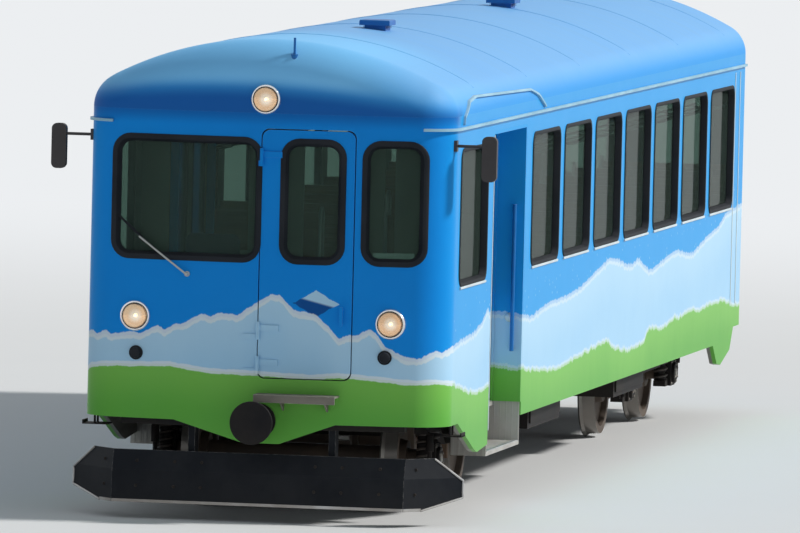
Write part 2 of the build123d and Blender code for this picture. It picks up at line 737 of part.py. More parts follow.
def make_axle_boxes(y):
    """Four axle boxes, each with a cover, two spring seats and the two springs on them."""
    spring = make_spring(WHEEL_R - 60, 575)
    middle = (FRAME_X[0] + FRAME_X[1]) / 2
    boxes = []
    for end in (-1, 1):
        yb = y + end * WHEELBASE / 2
        box = block(AXLE_BOX_X, (yb - 105, yb + 105), (WHEEL_R - 105, WHEEL_R + 110))
        box = box + block(
            (FRAME_X[0] - 5, FRAME_X[1] + 5), (yb - 225, yb + 225), (WHEEL_R - 105, WHEEL_R - 60)
        )
        box = box + rod_x(85, (AXLE_BOX_X[1] - 5, AXLE_BOX_X[1] + 25), yb, WHEEL_R)
        for offset in (-165, 165):
            box = box + Pos(middle, yb + offset, 0) * spring
        bore = rod_x(JOURNAL_R + RUNNING_CLEARANCE, (AXLE_BOX_X[0] - 20, AXLE_BOX_X[1] - 10), yb, WHEEL_R)
        boxes += both_sides(box - bore)
    return Compound(boxes)


def make_spring(low, high):
    """Primary spring between two heights, drawn as a ribbed cylinder with one rib a turn."""
    pitch = (high - low) / SPRING_TURNS
    outline = [(0, low)]
    for k in range(SPRING_TURNS):
        base = low + k * pitch
        outline += [(34, base), (46, base + pitch * 0.3), (46, base + pitch * 0.7)]
    outline += [(34, high), (0, high)]
    return revolve(make_face(Polyline(*[(r, 0, z) for r, z in outline], close=True)), Axis.Z)


def make_brakes(y):
    """Tread brake shoes between the axles, on hangers with arms from the side members."""
    x = (BACK_TO_BACK / 2 + 40, BACK_TO_BACK / 2 + TYRE_WIDTH)
    shoes = []
    for end in (-1, 1):
        yw = y + end * WHEELBASE / 2
        ring = rod_x(WHEEL_R + 60, x, yw, WHEEL_R) - rod_x(WHEEL_R + 8, (x[0] - 5, x[1] + 5), yw, WHEEL_R)
        inner_side = sorted((yw - end * (WHEEL_R - 20), yw - end * (WHEEL_R + 80)))
        shoe = ring & block(x, inner_side, (WHEEL_R - 120, WHEEL_R + 120))
        y_top = yw - end * (WHEEL_R + 45)
        hanger = block((x[0] + 30, x[1] - 30), (y_top - 12, y_top + 12), (WHEEL_R, 520))
        arm = block((x[0] + 30, FRAME_X[0]), sorted((y_top - 12, y_top + 12)), (490, 520))
        shoes += both_sides(shoe + hanger + arm)
    return Compound(shoes)


def make_plough():
    """Snow plough: a folded blade with swept-back wings cut off at their corners, and brackets."""
    t = PLOUGH_PLATE
    low, high = PLOUGH_BOTTOM, PLOUGH_TOP
    fold = low + (high - low) * 0.62
    lean = 70
    blade_side = [
        (at(-10), low),
        (at(-10) + lean * 0.2, fold),
        (at(-10) + lean, high),
        (at(-10) + lean + t, high),
        (at(-10) + lean * 0.2 + t, fold),
        (at(-10) + t, low),
    ]
    blade = prism_yz(blade_side, (-PLOUGH_BLADE, PLOUGH_BLADE))
    wing_line = [(at(-10), 0), (at(-10) + PLOUGH_SWEEP, PLOUGH_HALF - PLOUGH_BLADE)]
    wing = None
    for (r0, z0), (r1, z1) in (((0, low), (lean * 0.2, fold)), ((lean * 0.2, fold), (lean, high))):
        near = [(wing_line[0][0] + r0, z0), (wing_line[0][0] + r1, z1), (wing_line[0][0] + r1 + t, z1), (wing_line[0][0] + r0 + t, z0)]
        far = [(y + wing_line[1][0] - wing_line[0][0], z) for y, z in near]
        inner = make_face(Plane.YZ.offset(PLOUGH_BLADE) * Polyline(*near, close=True))
        outer = make_face(Plane.YZ.offset(PLOUGH_HALF) * Polyline(*far, close=True))
        piece = loft([inner, outer])
        wing = piece if wing is None else wing + piece
    tip, cut, rise = PLOUGH_HALF, PLOUGH_CUT, PLOUGH_RISE
    upper = [(tip - cut[0], high + 1), (tip + 1, high + 1), (tip + 1, high - cut[1])]
    lower = [(tip - rise[0], low - 1), (tip + 1, low - 1), (tip + 1, low + rise[1])]
    for corner in (upper, lower):
        wing = wing - prism_xz(corner, (at(-200), at(PLOUGH_SWEEP + 200)))
    plough = blade
    for w in both_sides(wing):
        plough = plough + w
    brackets = []
    for x in (-520, 520):
        brackets.append(block((x - 25, x + 25), (at(5), at(250)), (low + 60, low + 140)))
        brackets.append(block((x - 25, x + 25), (at(130), at(250)), (low + 60, BUFFER_HEIGHT - 60)))
    for b in brackets:
        plough = plough + b
    return plough


def make_buffer(face, outside):
    """Central disc buffer with its shank, flanged housing and a coupling hook below."""
    tip = face + outside * BUFFER_REACH
    disc = rod_y(BUFFER_R, 0, sorted((tip, tip - outside * 26)), BUFFER_HEIGHT)
    disc = fillet(disc.edges().filter_by(GeomType.CIRCLE), 8)
    whole = disc + rod_y(48, 0, sorted((tip - outside * 20, face)), BUFFER_HEIGHT)
    housing_y = sorted((face + outside * 130, face - outside * WALL))
    whole = whole + rod_y(BUFFER_HOUSING_R, 0, housing_y, BUFFER_HEIGHT)
    flange_y = sorted((face + outside * 14, face + outside * GLASS_GAP))
    whole = whole + rod_y(BUFFER_HOLE_R + 35, 0, flange_y, BUFFER_HEIGHT)
    # columns: near and far reach from the face, low and high height from the buffer's middle
    for near, far, low, high in ((20, 210, -140, -90), (20, 120, -120, 0), (175, 210, -140, -62)):
        y = sorted((face + outside * near, face + outside * far))
        whole = whole + block((-22, 22), y, (BUFFER_HEIGHT + low, BUFFER_HEIGHT + high))
    return whole


def make_lamp(x, y, z, radius, depth, outside, back=60):
    """Round lamp housing with a rounded rim, cut to sit on the body's outer face."""
    ring = rod_y(radius, x, sorted((y - outside * back, y + outside * depth)), z)
    rim = ring.faces().sort_by(Axis.Y)[0 if outside < 0 else -1]
    return fillet(rim.edges(), 12) - OUTER


def make_lamps():
    """Two headlamps and the roof lamp at the front, two tail lamps at the rear."""
    y = FRONT + front_bow(HEADLAMP_X)
    lamps = [make_lamp(side * HEADLAMP_X, y, HEADLAMP_Z, HEADLAMP_R, 38, -1) for side in (-1, 1)]
    lamps.append(make_lamp(0, FRONT, ROOF_LAMP_Z, ROOF_LAMP_R, 30, -1, back=240))
    lamps += [make_lamp(side * TAIL_LAMP_X, REAR, HEADLAMP_Z, TAIL_LAMP_R, 30, 1) for side in (-1, 1)]
    return Compound(lamps)


def make_footboard():
    """Footboard under the front door, on two brackets."""
    z = 905
    y = (at(-185), at(10))
    board = block((-10, 590), y, (z, z + 12))
    board = board + block((-10, 590), (y[0], y[0] + 10), (z - 45, z + 12))
    for x in (175, 500):
        board = board + prism_yz(
            [(y[0] + 5, z + 5), (y[1], z + 5), (y[1], z - 110), (y[1] - 20, z - 110), (y[0] + 5, z - 20)],
            (x, x + 10),
        )
    return board - OUTER


def make_mirrors():
    """Rear-view mirror on an arm and a foot plate at each front corner."""
    y = at(330)
    case = block(
        (MIRROR_X - 55, MIRROR_X + 55), (y - 20, y + 30), (MIRROR_HEIGHT - 165, MIRROR_HEIGHT + 165)
    )
    case = fillet(case.edges().filter_by(Axis.Y), 40)
    whole = case + rod_x(11, (HALF - 20, MIRROR_X), y, MIRROR_HEIGHT + 90)
    foot = block((HALF - 20, HALF + 8), (y - 30, y + 30), (MIRROR_HEIGHT + 50, MIRROR_HEIGHT + 130))
    return Compound(both_sides((whole + foot) - OUTER))


def make_roof_fittings():
    """Two low ventilators on the roof and the rod aerial on the dome of its front."""
    found = []
    for x, d in VENTS:
        base = block((x - 80, x + 80), (at(d) - 95, at(d) + 95), (ROOF_CROWN - 60, ROOF_CROWN + 20))
        lid = block((x - 115, x + 115), (at(d) - 125, at(d) + 125), (ROOF_CROWN + 20, ROOF_CROWN + 60))
        found.append((base + fillet(lid.edges().group_by(Axis.Z)[-1], 12)) - OUTER)
    low = ROOF_CROWN - ROOF_CORNER
    aerial = rod_z(9, AERIAL[0], at(AERIAL[1]), (low, ROOF_CROWN + 20))
    foot = rod_z(26, AERIAL[0], at(AERIAL[1]), (low, ROOF_CROWN - 100))
    found.append((aerial + foot) - OUTER)
    return Compound(found)


def make_gutters():
    """Rain gutter along each side at the eaves, and the raised drip rail over the door."""
    skin = body_form(-GUTTER_PROUD) - OUTER
    run = block((1150, HALF + 60), (FRONT - 60, REAR - 110), (GUTTER_HEIGHT - 4, GUTTER_HEIGHT + 16))
    gutter = skin & run
    band = [(at(d), EAVES + rise) for d, rise in DRIP_LINE]
    band += [(y, z + DRIP_THICK) for y, z in reversed(band)]
    drip = (body_form(-DRIP_PROUD) - OUTER) & prism_yz(band, (900, HALF + 60))
    return Compound(both_sides(gutter) + both_sides(drip))


def make_benches():
    """Wooden-slat style benches in pairs back to back, one pair at each window pillar."""
    benches = []
    pillar = (WINDOW_PITCH - WINDOW_WIDTH) / 2
    for k in range(WINDOW_COUNT + 1):
        y = at(WINDOW_FIRST - pillar + k * WINDOW_PITCH)
        facing = [s for s in (-1, 1) if not (k == 0 and s < 0) and not (k == WINDOW_COUNT and s > 0)]
        if k == 0:
            y += 65
        if k == WINDOW_COUNT:
            y -= 65
        for s in facing:
            top = FLOOR_TOP + BENCH_SEAT
            seat = [
                (y, top - 140),
                (y, FLOOR_TOP + BENCH_BACK),
                (y + s * 40, FLOOR_TOP + BENCH_BACK),
                (y + s * 110, top),
                (y + s * BENCH_DEPTH, top + 20),
                (y + s * (BENCH_DEPTH + 10), top - 50),
                (y + s * 60, top - 100),
            ]
            ahead, back = y + s * BENCH_LEG[1], y + s * BENCH_LEG[0]
            leg = [(back, FLOOR_TOP), (back, top - 80), (ahead, top - 80), (ahead, FLOOR_TOP)]
            bench = prism_yz(seat, (BENCH_INNER, HALF - WALL - 5))
            bench = bench + prism_yz(leg, (BENCH_INNER + 40, HALF - WALL - 100))
            benches += both_sides(bench)
    return Compound(benches)


def make_cab():
    """Driver's desk, driver's stool, cab bulkhead and saloon partition."""
    near, far = at(DESK_DEPTH[0]), at(DESK_DEPTH[1])
    top = FLOOR_TOP + DESK_TOP
    desk = prism_yz(
        [
            (near, FLOOR_TOP),
            (near, top),
            (near + 150, top),
            (far, top - 120),
            (far, top - 160),
            (far - 160, top - 200),
            (far - 160, FLOOR_TOP),
        ],
        DESK_X,
    )
    desk = desk & body_form(WALL + 5)
    x, back = sum(DRIVER_SEAT_X) / 2, at(DRIVER_SEAT_Y[1])
    y, top = at(sum(DRIVER_SEAT_Y) / 2), FLOOR_TOP + DRIVER_SEAT_TOP
    seat = block(DRIVER_SEAT_X, (at(DRIVER_SEAT_Y[0]), back), (top - 60, top))
    seat = seat + block(DRIVER_SEAT_X, (back - 30, back + 30), (top + 20, top + 460))
    seat = seat + block((x - 50, x + 50), (back - 20, back + 20), (top - 40, top + 60))
    seat = seat + rod_z(40, x, y, (FLOOR_TOP, top - 40))
    seat = seat + rod_z(180, x, y, (FLOOR_TOP, FLOOR_TOP + 20))
    inside = body_form(WALL + GLASS_GAP)
    walls = []
    for d, door in ((RECESS_FRONT - PARTITION - 10, (-300, 380)), (RECESS_REAR + PARTITION, (-350, 350))):
        through = (at(d) - 10, at(d) + PARTITION + 10)
        wall = inside & block((-HALF, HALF), (at(d), at(d) + PARTITION), (FLOOR_TOP, ROOF_CROWN - 2 * WALL))
        wall = wall - block(door, through, (FLOOR_TOP - 1, EAVES - 30))
        for x in ((-1080, -480), (540, 1080)):
            wall = wall - block(x, through, (WINDOW_SILL + 40, WINDOW_HEAD - 50))
        walls.append(wall)
    return {"driver_desk": desk, "driver_seat": seat, "partitions": Compound(walls)}


def make_underfloor():
    """Battery boxes, air reservoirs and a compressor hung from the cross beams."""
    boxes = []
    # columns: side of the car, end of the car that the box is nearer to
    for side, end in ((1, "front"), (-1, "front"), (1, "rear")):
        y = BOX_Y[end]
        body = block(sorted((side * BOX_X[0], side * BOX_X[1])), y, (BOX_LOW, CROSS_BEAM_LOW))
        lid_x = sorted((side * (BOX_X[1] - 5), side * (BOX_X[1] + 15)))
        lid = block(lid_x, (y[0] + 50, y[1] - 50), (BOX_LOW + 40, CROSS_BEAM_LOW - 60))
        boxes.append(body + lid)
    air = []
    for x in TANK_X:
        low, high = BOX_Y["rear"]
        tank = rod_y(TANK_R, x, (low - 30, high + 30), TANK_Z)
        tank = fillet(tank.edges().filter_by(GeomType.CIRCLE), 60)
        for y in (low + BOX_BEAM_INSET, high - BOX_BEAM_INSET):
            tank = tank + block((x - 20, x + 20), (y - 20, y + 20), (TANK_Z + 100, CROSS_BEAM_LOW))
        air.append(tank)
    compressor = block(COMPRESSOR_X, COMPRESSOR_Y, COMPRESSOR_Z)
    compressor = compressor + rod_y(
        130, sum(COMPRESSOR_X) / 2, (COMPRESSOR_Y[1], COMPRESSOR_Y[1] + 250), sum(COMPRESSOR_Z) / 2 - 10
    )
    for y in COMPRESSOR_BARS:
        bar = block((-350, 350), (y - 20, y + 20), (COMPRESSOR_Z[1] - 20, CENTRE_PLATE_Z + 20))
        compressor = compressor + bar
    air.append(compressor)
    return {"equipment_boxes": Compound(boxes), "air_equipment": Compound(air)}


def make_handrails():
    """Upright grab rails beside each entrance, on short stand-offs."""
    rails = []
    for d in (RECESS_FRONT + JAMB + 35, RECESS_REAR - JAMB - 35):
        inward = -1 if d < (RECESS_FRONT + RECESS_REAR) / 2 else 1
        x = HALF - 70
        rail = rod_z(15, x, at(d), (1080, 2180))
        for z in (1110, 2150):
            rail = rail + rod_y(10, x, sorted((at(d), at(d) + inward * 34.7)), z)
        rails += both_sides(rail)
    return Compound(rails)


def build():
    """Every node of the car by name."""
    nodes = make_shell_panels()
    nodes["window_panes"] = make_glass()
    nodes["front_door"], nodes["front_door_pane"] = make_end_door(FRONT_DOOR, DOOR_WINDOW, 0, -1)
    nodes["rear_door"], nodes["rear_door_pane"] = make_end_door(REAR_DOOR, REAR_DOOR_WINDOW, 0, 1)
    for place, (leaf, pane) in make_leaves().items():
        for side, pair in zip(("right", "left"), zip(both_sides(leaf), both_sides(pane))):
            nodes[f"door_leaf_{place}_{side}"], nodes[f"door_pane_{place}_{side}"] = pair
    lining, steps = make_entrance()
    nodes["entrance_lining"] = Compound(both_sides(lining))
    nodes["entrance_steps"] = Compound(both_sides(steps))
    nodes["floor"], nodes["underframe"] = make_floor()
    for end, y in BOGIE_Y.items():
        nodes[f"bogie_frame_{end}"] = make_bogie_frame(y)
        nodes[f"axle_boxes_{end}"] = make_axle_boxes(y)
        nodes[f"brake_shoes_{end}"] = make_brakes(y)
        for number, side in ((1, -1), (2, 1)):
            nodes[f"wheelset_{end}_{number}"] = make_wheelset(y + side * WHEELBASE / 2)
        nodes[f"rack_pinion_{end}"] = make_pinion(y + PINION_AXLE[end] * WHEELBASE / 2)
    nodes["snow_plough"] = make_plough()
    nodes["buffers"] = Compound([make_buffer(FRONT, -1), make_buffer(REAR, 1)])
    nodes["lamps"] = make_lamps()
    nodes["footboard"] = make_footboard()
    nodes["mirrors"] = make_mirrors()
    nodes["roof_fittings"] = make_roof_fittings()
    nodes["gutters"] = make_gutters()
    nodes["benches"] = make_benches()
    nodes.update(make_cab())
    nodes.update(make_underfloor())
    nodes["handrails"] = make_handrails()
    return nodes


os.makedirs("parts", exist_ok=True)
for name, shape in build().items():
    export_step(Pos(0, 0, FLANGE_HEIGHT) * shape, f"parts/{name}.step")
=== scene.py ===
"""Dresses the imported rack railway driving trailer: finishes, glazing, lamps, running gear and studio."""
import logging
import math
from dataclasses import dataclass, replace
from enum import Enum
from functools import lru_cache
from typing import Callable, Sequence, Union

import bmesh
import bpy
import numpy as np
from mathutils import Matrix, Vector


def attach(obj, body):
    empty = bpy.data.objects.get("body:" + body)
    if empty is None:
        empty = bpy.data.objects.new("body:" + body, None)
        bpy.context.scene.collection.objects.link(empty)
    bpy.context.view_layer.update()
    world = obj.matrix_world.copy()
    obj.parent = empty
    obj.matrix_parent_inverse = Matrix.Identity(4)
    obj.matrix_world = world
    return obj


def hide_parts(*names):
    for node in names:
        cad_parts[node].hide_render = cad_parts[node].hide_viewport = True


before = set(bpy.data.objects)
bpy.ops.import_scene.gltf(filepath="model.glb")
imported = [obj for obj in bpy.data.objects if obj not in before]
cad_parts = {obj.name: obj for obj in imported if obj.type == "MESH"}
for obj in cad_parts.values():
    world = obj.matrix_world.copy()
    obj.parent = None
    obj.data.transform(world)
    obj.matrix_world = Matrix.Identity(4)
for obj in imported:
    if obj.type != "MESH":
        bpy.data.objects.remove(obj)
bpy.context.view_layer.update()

LOG = logging.getLogger("trailer")

Span = tuple[float, float]
Colour = tuple[float, float, float]
Point = Union[tuple[float, float, float], np.ndarray]

# Metres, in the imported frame: z = 0 at the flanges' lowest point, the front looks along -Y.
RAIL = 0.028
FRONT, REAR = -6.9, 6.9
HALF = 1.35
NOSE_RADIUS, NOSE_CORNER, NOSE_TANGENT = 6.3144, 0.30, 1.1024
ROOF_CORNER = 0.25
EAVES, CROWN = 2.95 + RAIL, 3.48 + RAIL
ROOF_FLAT, ROOF_RISE = HALF - ROOF_CORNER, CROWN - EAVES
ROOF_RADIUS = (ROOF_FLAT**2 + ROOF_RISE**2 - ROOF_CORNER**2) / (2 * (ROOF_RISE - ROOF_CORNER))
ROOF_CENTRE = CROWN - ROOF_RADIUS
ROOF_TANGENT = ROOF_FLAT * ROOF_RADIUS / (ROOF_RADIUS - ROOF_CORNER)
BOGIE_Y, HALF_WHEELBASE, AXLE_HEIGHT = 4.3, 1.05, 0.38 + RAIL
WINDOW_SILL, WINDOW_HEAD = 1.72 + RAIL, 2.69 + RAIL
END_SILL, END_HEAD = 1.89 + RAIL, 2.74 + RAIL
LAMP_ACROSS, LAMP_HEIGHT, ROOF_LAMP_HEIGHT = 0.944, 1.445 + RAIL, 3.05 + RAIL
FLOOR = 1.0 + RAIL
SIDES = (-1, 1)


class InnerFace(Enum):
    """How body paint tells faces that look into the car."""

    SHELL = "by depth below the outer form"
    LEAF = "by distance from the middle of the car"
    NONE = "all faces are outside"


class Body(Enum):
    """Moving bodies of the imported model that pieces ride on."""

    CAR = "carbody"
    FRONT_DOOR = "front_door"
    REAR_DOOR = "rear_door"
    FRONT_LEAF_RIGHT = "front_leaf_right"
    FRONT_LEAF_LEFT = "front_leaf_left"
    REAR_LEAF_RIGHT = "rear_leaf_right"
    REAR_LEAF_LEFT = "rear_leaf_left"
    BOGIE_FRONT = "bogie_front"
    BOGIE_REAR = "bogie_rear"


# Surfaces


def line(x: np.ndarray, y: np.ndarray, z: np.ndarray) -> np.ndarray:
    """Points whose x, y and z are numbers or arrays that fit together."""
    return np.stack(np.broadcast_arrays(x, y, z), axis=-1)


def circle(steps: int) -> np.ndarray:
    """Even angles round a full turn."""
    return np.linspace(0.0, 2 * math.pi, steps, endpoint=False)


def nose(x: np.ndarray) -> tuple[np.ndarray, np.ndarray, np.ndarray]:
    """Outer face of the bowed front in plan.

    A wide arc round a centre on the middle line, y = front + R - sqrt(R^2 - x^2), runs into a
    corner arc of radius r at each side.

    Args:
        x: positions across the car.

    Returns:
        The face's y at each x, and the x and y parts of its outward normal.
    """
    inner = HALF - NOSE_CORNER
    centre = FRONT + NOSE_RADIUS - math.sqrt((NOSE_RADIUS - NOSE_CORNER) ** 2 - inner**2)
    over = np.clip(np.abs(x) - inner, 0.0, NOSE_CORNER)
    wide = np.abs(x) <= NOSE_TANGENT
    y_wide = FRONT + NOSE_RADIUS - np.sqrt(NOSE_RADIUS**2 - np.minimum(np.abs(x), HALF) ** 2)
    y_tight = centre - np.sqrt(NOSE_CORNER**2 - over**2)
    normal_x = np.where(wide, x / NOSE_RADIUS, np.sign(x) * over / NOSE_CORNER)
    return np.where(wide, y_wide, y_tight), normal_x, -np.sqrt(1.0 - normal_x**2)


def roof_height(x: np.ndarray) -> np.ndarray:
    """Height of the roof's outer face: a crown arc with a corner arc at each side.

    Args:
        x: positions across the car.

    Returns:
        The height at each x.
    """
    side = np.abs(x)
    crown = ROOF_CENTRE + np.sqrt(ROOF_RADIUS**2 - np.minimum(side, ROOF_TANGENT) ** 2)
    over = np.clip(side - ROOF_FLAT, 0.0, ROOF_CORNER)
    return np.where(side <= ROOF_TANGENT, crown, EAVES + np.sqrt(ROOF_CORNER**2 - over**2))


@dataclass(frozen=True)
class Wall:
    """An outer face that pieces are fitted to.

    Args:
        across: 1 or -1 for a side face at x = across * plane, 0 for an end.
        plane: distance of a side face from the middle line.
        end: -1 for the bowed front, 1 for the flat rear.
    """

    across: int = 0
    plane: float = HALF
    end: int = -1

    def place(self, along: np.ndarray, up: np.ndarray, out: np.ndarray) -> np.ndarray:
        """Points of the face moved outwards along its normal.

        Args:
            along: y on a side face, x on an end.
            up: height.
            out: distance out of the face.

        Returns:
            Array with a last axis of x, y, z.
        """
        if self.across:
            return line(self.across * (self.plane + out), along, up)
        if self.end > 0:
            return line(along, REAR + out, up)
        y, normal_x, normal_y = nose(along)
        return line(along + out * normal_x, y + out * normal_y, up)


RIGHT_SIDE, LEFT_SIDE = Wall(across=1), Wall(across=-1)
FRONT_END, REAR_END = Wall(end=-1), Wall(end=1)


def rounded_loop(low: Span, high: Span, radius: float, steps: int = 8) -> tuple[np.ndarray, np.ndarray]:
    """Closed outline of a rounded rectangle with its outward normals.

    Four quarter circles round the corner centres are joined by straight runs in equal steps.

    Args:
        low: lowest corner.
        high: highest corner.
        radius: corner radius.
        steps: points on each quarter circle and on each run.

    Returns:
        Points and normals, each an array of n by 2.
    """
    right, top, left, bottom = high[0] - radius, high[1] - radius, low[0] + radius, low[1] + radius
    centres = np.array([(right, top), (left, top), (left, bottom), (right, bottom)])
    turn = np.linspace(0.0, math.pi / 2, steps)[None, :] + (np.arange(4) * math.pi / 2)[:, None]
    normals = np.stack([np.cos(turn), np.sin(turn)], axis=-1)
    arcs = centres[:, None, :] + radius * normals
    share = np.linspace(0.0, 1.0, steps + 2)[1:-1][None, :, None]
    runs = arcs[:, -1:, :] * (1 - share) + np.roll(arcs, -1, axis=0)[:, :1, :] * share
    run_normals = np.repeat(normals[:, -1:, :], steps, axis=1)
    points = np.concatenate([arcs, runs], axis=1).reshape(-1, 2)
    return points, np.concatenate([normals, run_normals], axis=1).reshape(-1, 2)


def square_to(ahead: np.ndarray, spread: np.ndarray) -> tuple[np.ndarray, np.ndarray]:
    """Two unit directions square to each given one and to each other.

    Args:
        ahead: unit directions.
        spread: size along each axis; the smallest picks the axis to start from.

    Returns:
        The first and the second direction.
    """
    first = np.cross(ahead, np.eye(3)[int(np.argmin(spread))])
    first /= np.linalg.norm(first, axis=-1, keepdims=True)
    return first, np.cross(ahead, first)


class Shape:
    """Collects surface grids and repeated solids, and becomes one mesh object."""

    def __init__(self) -> None:
        """Starts with no points and no faces."""
        self.points: list[np.ndarray] = []
        self.faces: list[list[int]] = []
        self.count = 0

    def add(self, points: np.ndarray, faces: Sequence[Sequence[int]]) -> None:
        """Adds a surface.

        Args:
            points: array with a last axis of x, y, z.
            faces: numbers of the points round each face.
        """
        self.faces += [[index + self.count for index in face] for face in faces]
        self.points.append(np.asarray(points, dtype=float).reshape(-1, 3))
        self.count += len(self.points[-1])

    def grid(self, points: np.ndarray, wrap: tuple[bool, bool] = (False, True), caps: bool = False) -> None:
        """Adds a surface given as a grid of points.

        Args:
            points: array of rows by columns by 3.
            wrap: whether the last row joins the first, and the last column the first.
            caps: whether the first and last rows are closed with a face.
        """
        rows, columns = points.shape[:2]
        r = np.arange(rows if wrap[0] else rows - 1)[:, None]
        c = np.arange(columns if wrap[1] else columns - 1)[None, :]
        below, above, ahead = r * columns, (r + 1) % rows * columns, (c + 1) % columns
        quads = np.broadcast_arrays(below + c, below + ahead, above + ahead, above + c)
        faces = np.stack(quads, axis=-1).reshape(-1, 4).tolist()
        if caps:
            faces += [list(range(columns))[::-1], list(range((rows - 1) * columns, rows * columns))]
        self.add(points, faces)

    def bar(self, rows: Sequence[np.ndarray]) -> None:
        """Adds a closed bar given by the line of points along each edge of its section."""
        self.grid(np.stack(rows, axis=1), caps=True)

    def copies(self, points: np.ndarray, faces: Sequence[Sequence[int]], places: np.ndarray) -> None:
        """Adds the same small solid at each of the places.

        Args:
            points: the solid's points, n by 3.
            faces: its faces.
            places: how far each copy is moved, m by 3.
        """
        shift = np.arange(len(places))[:, None] * len(points)
        every = [index for face in faces for index in (np.asarray(face) + shift).tolist()]
        self.add(places[:, None, :] + points, every)

    def tube(self, path: np.ndarray, radius: float, sides: int = 10) -> None:
        """Adds a round bar: a circle carried along the path.

        Args:
            path: points along its middle, n by 3.
            radius: the circle's radius.
            sides: points on the circle.
        """
        ahead = np.gradient(np.asarray(path, dtype=float), axis=0)
        ahead /= np.linalg.norm(ahead, axis=1, keepdims=True)
        first, second = square_to(ahead, np.abs(ahead).max(axis=0))
        turn = circle(sides)[None, :, None]
        ring = np.cos(turn) * first[:, None, :] + np.sin(turn) * second[:, None, :]
        self.grid(np.asarray(path)[:, None, :] + radius * ring, caps=True)

    def lathe(self, profile: Sequence[Span], centre: Point, axis: Point, sides: int = 48) -> None:
        """Adds a solid of revolution, closed at its first and last circles.

        Args:
            profile: (radius, distance along the axis) pairs that are turned round the axis.
            centre: where the distance is 0.
            axis: direction of the axis.
            sides: points on each circle.
        """
        reach = np.asarray(profile, dtype=float)
        along = np.asarray(axis, dtype=float) / np.linalg.norm(axis)
        first, second = square_to(along, np.abs(along))
        ring = np.cos(circle(sides))[:, None] * first + np.sin(circle(sides))[:, None] * second
        points = np.asarray(centre) + reach[:, :1, None] * ring[None] + reach[:, 1, None, None] * along
        self.grid(points, caps=True)

    def slab(self, low: Point, high: Point, soft: float = 0.004) -> None:
        """Adds a block: a rounded rectangle carried along its longest axis.

        Args:
            low: one corner.
            high: the opposite corner.
            soft: radius of the long edges.
        """
        low, high = np.minimum(low, high), np.maximum(low, high)
        axis = int(np.argmax(high - low))
        others = [k for k in range(3) if k != axis]
        radius = min(soft, 0.49 * float((high - low)[others].min()))
        points = np.zeros((2, 24, 3))
        points[:, :, others] = rounded_loop(tuple(low[others]), tuple(high[others]), radius, steps=3)[0]
        points[0, :, axis], points[1, :, axis] = low[axis], high[axis]
        self.grid(points, caps=True)

    def gasket(self, wall: Wall, low: Span, high: Span, radius: float, profile: np.ndarray) -> None:
        """Carries a glazing profile round a rounded window.

        Args:
            wall: the face that the window is in.
            low: the window's lowest corner.
            high: its highest corner.
            radius: its corner radius.
            profile: (distance outwards in the face, distance out of the face) pairs.
        """
        loop, normals = rounded_loop(low, high, radius)
        flat = loop[:, None, :] + profile[None, :, :1] * normals[:, None, :]
        self.grid(wall.place(flat[..., 0], flat[..., 1], profile[None, :, 1]), wrap=(True, True))

    def build(self, name: str, smooth_angle: float = 35.0) -> bpy.types.Object:
        """Turns what was collected into an object at the origin.

        Args:
            name: the piece's name.
            smooth_angle: edges sharper than this many degrees stay crisp.

        Returns:
            The new object.
        """
        mesh = bpy.data.meshes.new(name)
        mesh.from_pydata(np.concatenate(self.points), [], self.faces)
        work = bmesh.new()
        work.from_mesh(mesh)
        bmesh.ops.remove_doubles(work, verts=work.verts, dist=1e-6)
        bmesh.ops.recalc_face_normals(work, faces=work.faces)
        work.to_mesh(mesh)
        work.free()
        mesh.shade_smooth()
        mesh.set_sharp_from_angle(angle=math.radians(smooth_angle))
        piece = bpy.data.objects.new(name, mesh)
        bpy.context.scene.collection.objects.link(piece)
        return piece

    def piece(
        self, name: str, finish: "AnyFinish", body: Body = Body.CAR, slot: str = ""
    ) -> bpy.types.Object:
        """Builds the object and settles it, as settle says."""
        return settle(self.build(name), finish, body)


def bolt(radius: float, height: float, axis: int, sign: int) -> tuple[np.ndarray, list[list[int]]]:
    """Hexagonal bolt head on the origin, with its far rim drawn in.

    Args:
        radius: radius of its corners.
        height: how far it stands out.
        axis: number of the axis that it stands along.
        sign: 1 or -1 for the way it looks.

    Returns:
        Its points and faces.
    """
    sides = 6
    ring = np.stack([np.cos(circle(sides)), np.sin(circle(sides))], axis=-1) * radius
    points = np.zeros((3, sides, 3))
    points[:, :, [k for k in range(3) if k != axis]] = ring[None] * np.array([1.0, 1.0, 0.82])[:, None, None]
    points[:, :, axis] = sign * height * np.array([0.0, 0.8, 1.0])[:, None]
    k, rows = np.arange(sides), np.array([[0], [sides]])
    ahead = (k + 1) % sides
    quads = np.stack([rows + k, rows + ahead, rows + sides + ahead, rows + sides + k], axis=-1)
    ends = [list(range(sides)), list(range(2 * sides, 3 * sides))]
    return points.reshape(-1, 3), ends + quads.reshape(-1, 4).tolist()


def gasket_profile(depth: float, lip_out: float, lip_in: float = 0.020) -> np.ndarray:
    """Section of a glazing rubber: one lip on the panel, the other down on the glass.

    Args:
        depth: how deep the glass lies.
        lip_out: how far the outer lip reaches over the panel.
        lip_in: how far the inner lip reaches over the glass.

    Returns:
        (distance outwards in the face, distance out of the face) pairs.
    """
    return np.array(
        [
            (lip_out, -0.002), (lip_out, 0.004), (lip_out - 0.005, 0.008), (0.35 * lip_out, 0.009),
            (-0.2 * lip_in, 0.006), (-0.6 * lip_in, -0.3 * depth), (-lip_in, 0.004 - depth),
            (0.002 - lip_in, -depth), (0.002, -depth), (0.002, -0.002),
        ]
    )


# Node trees


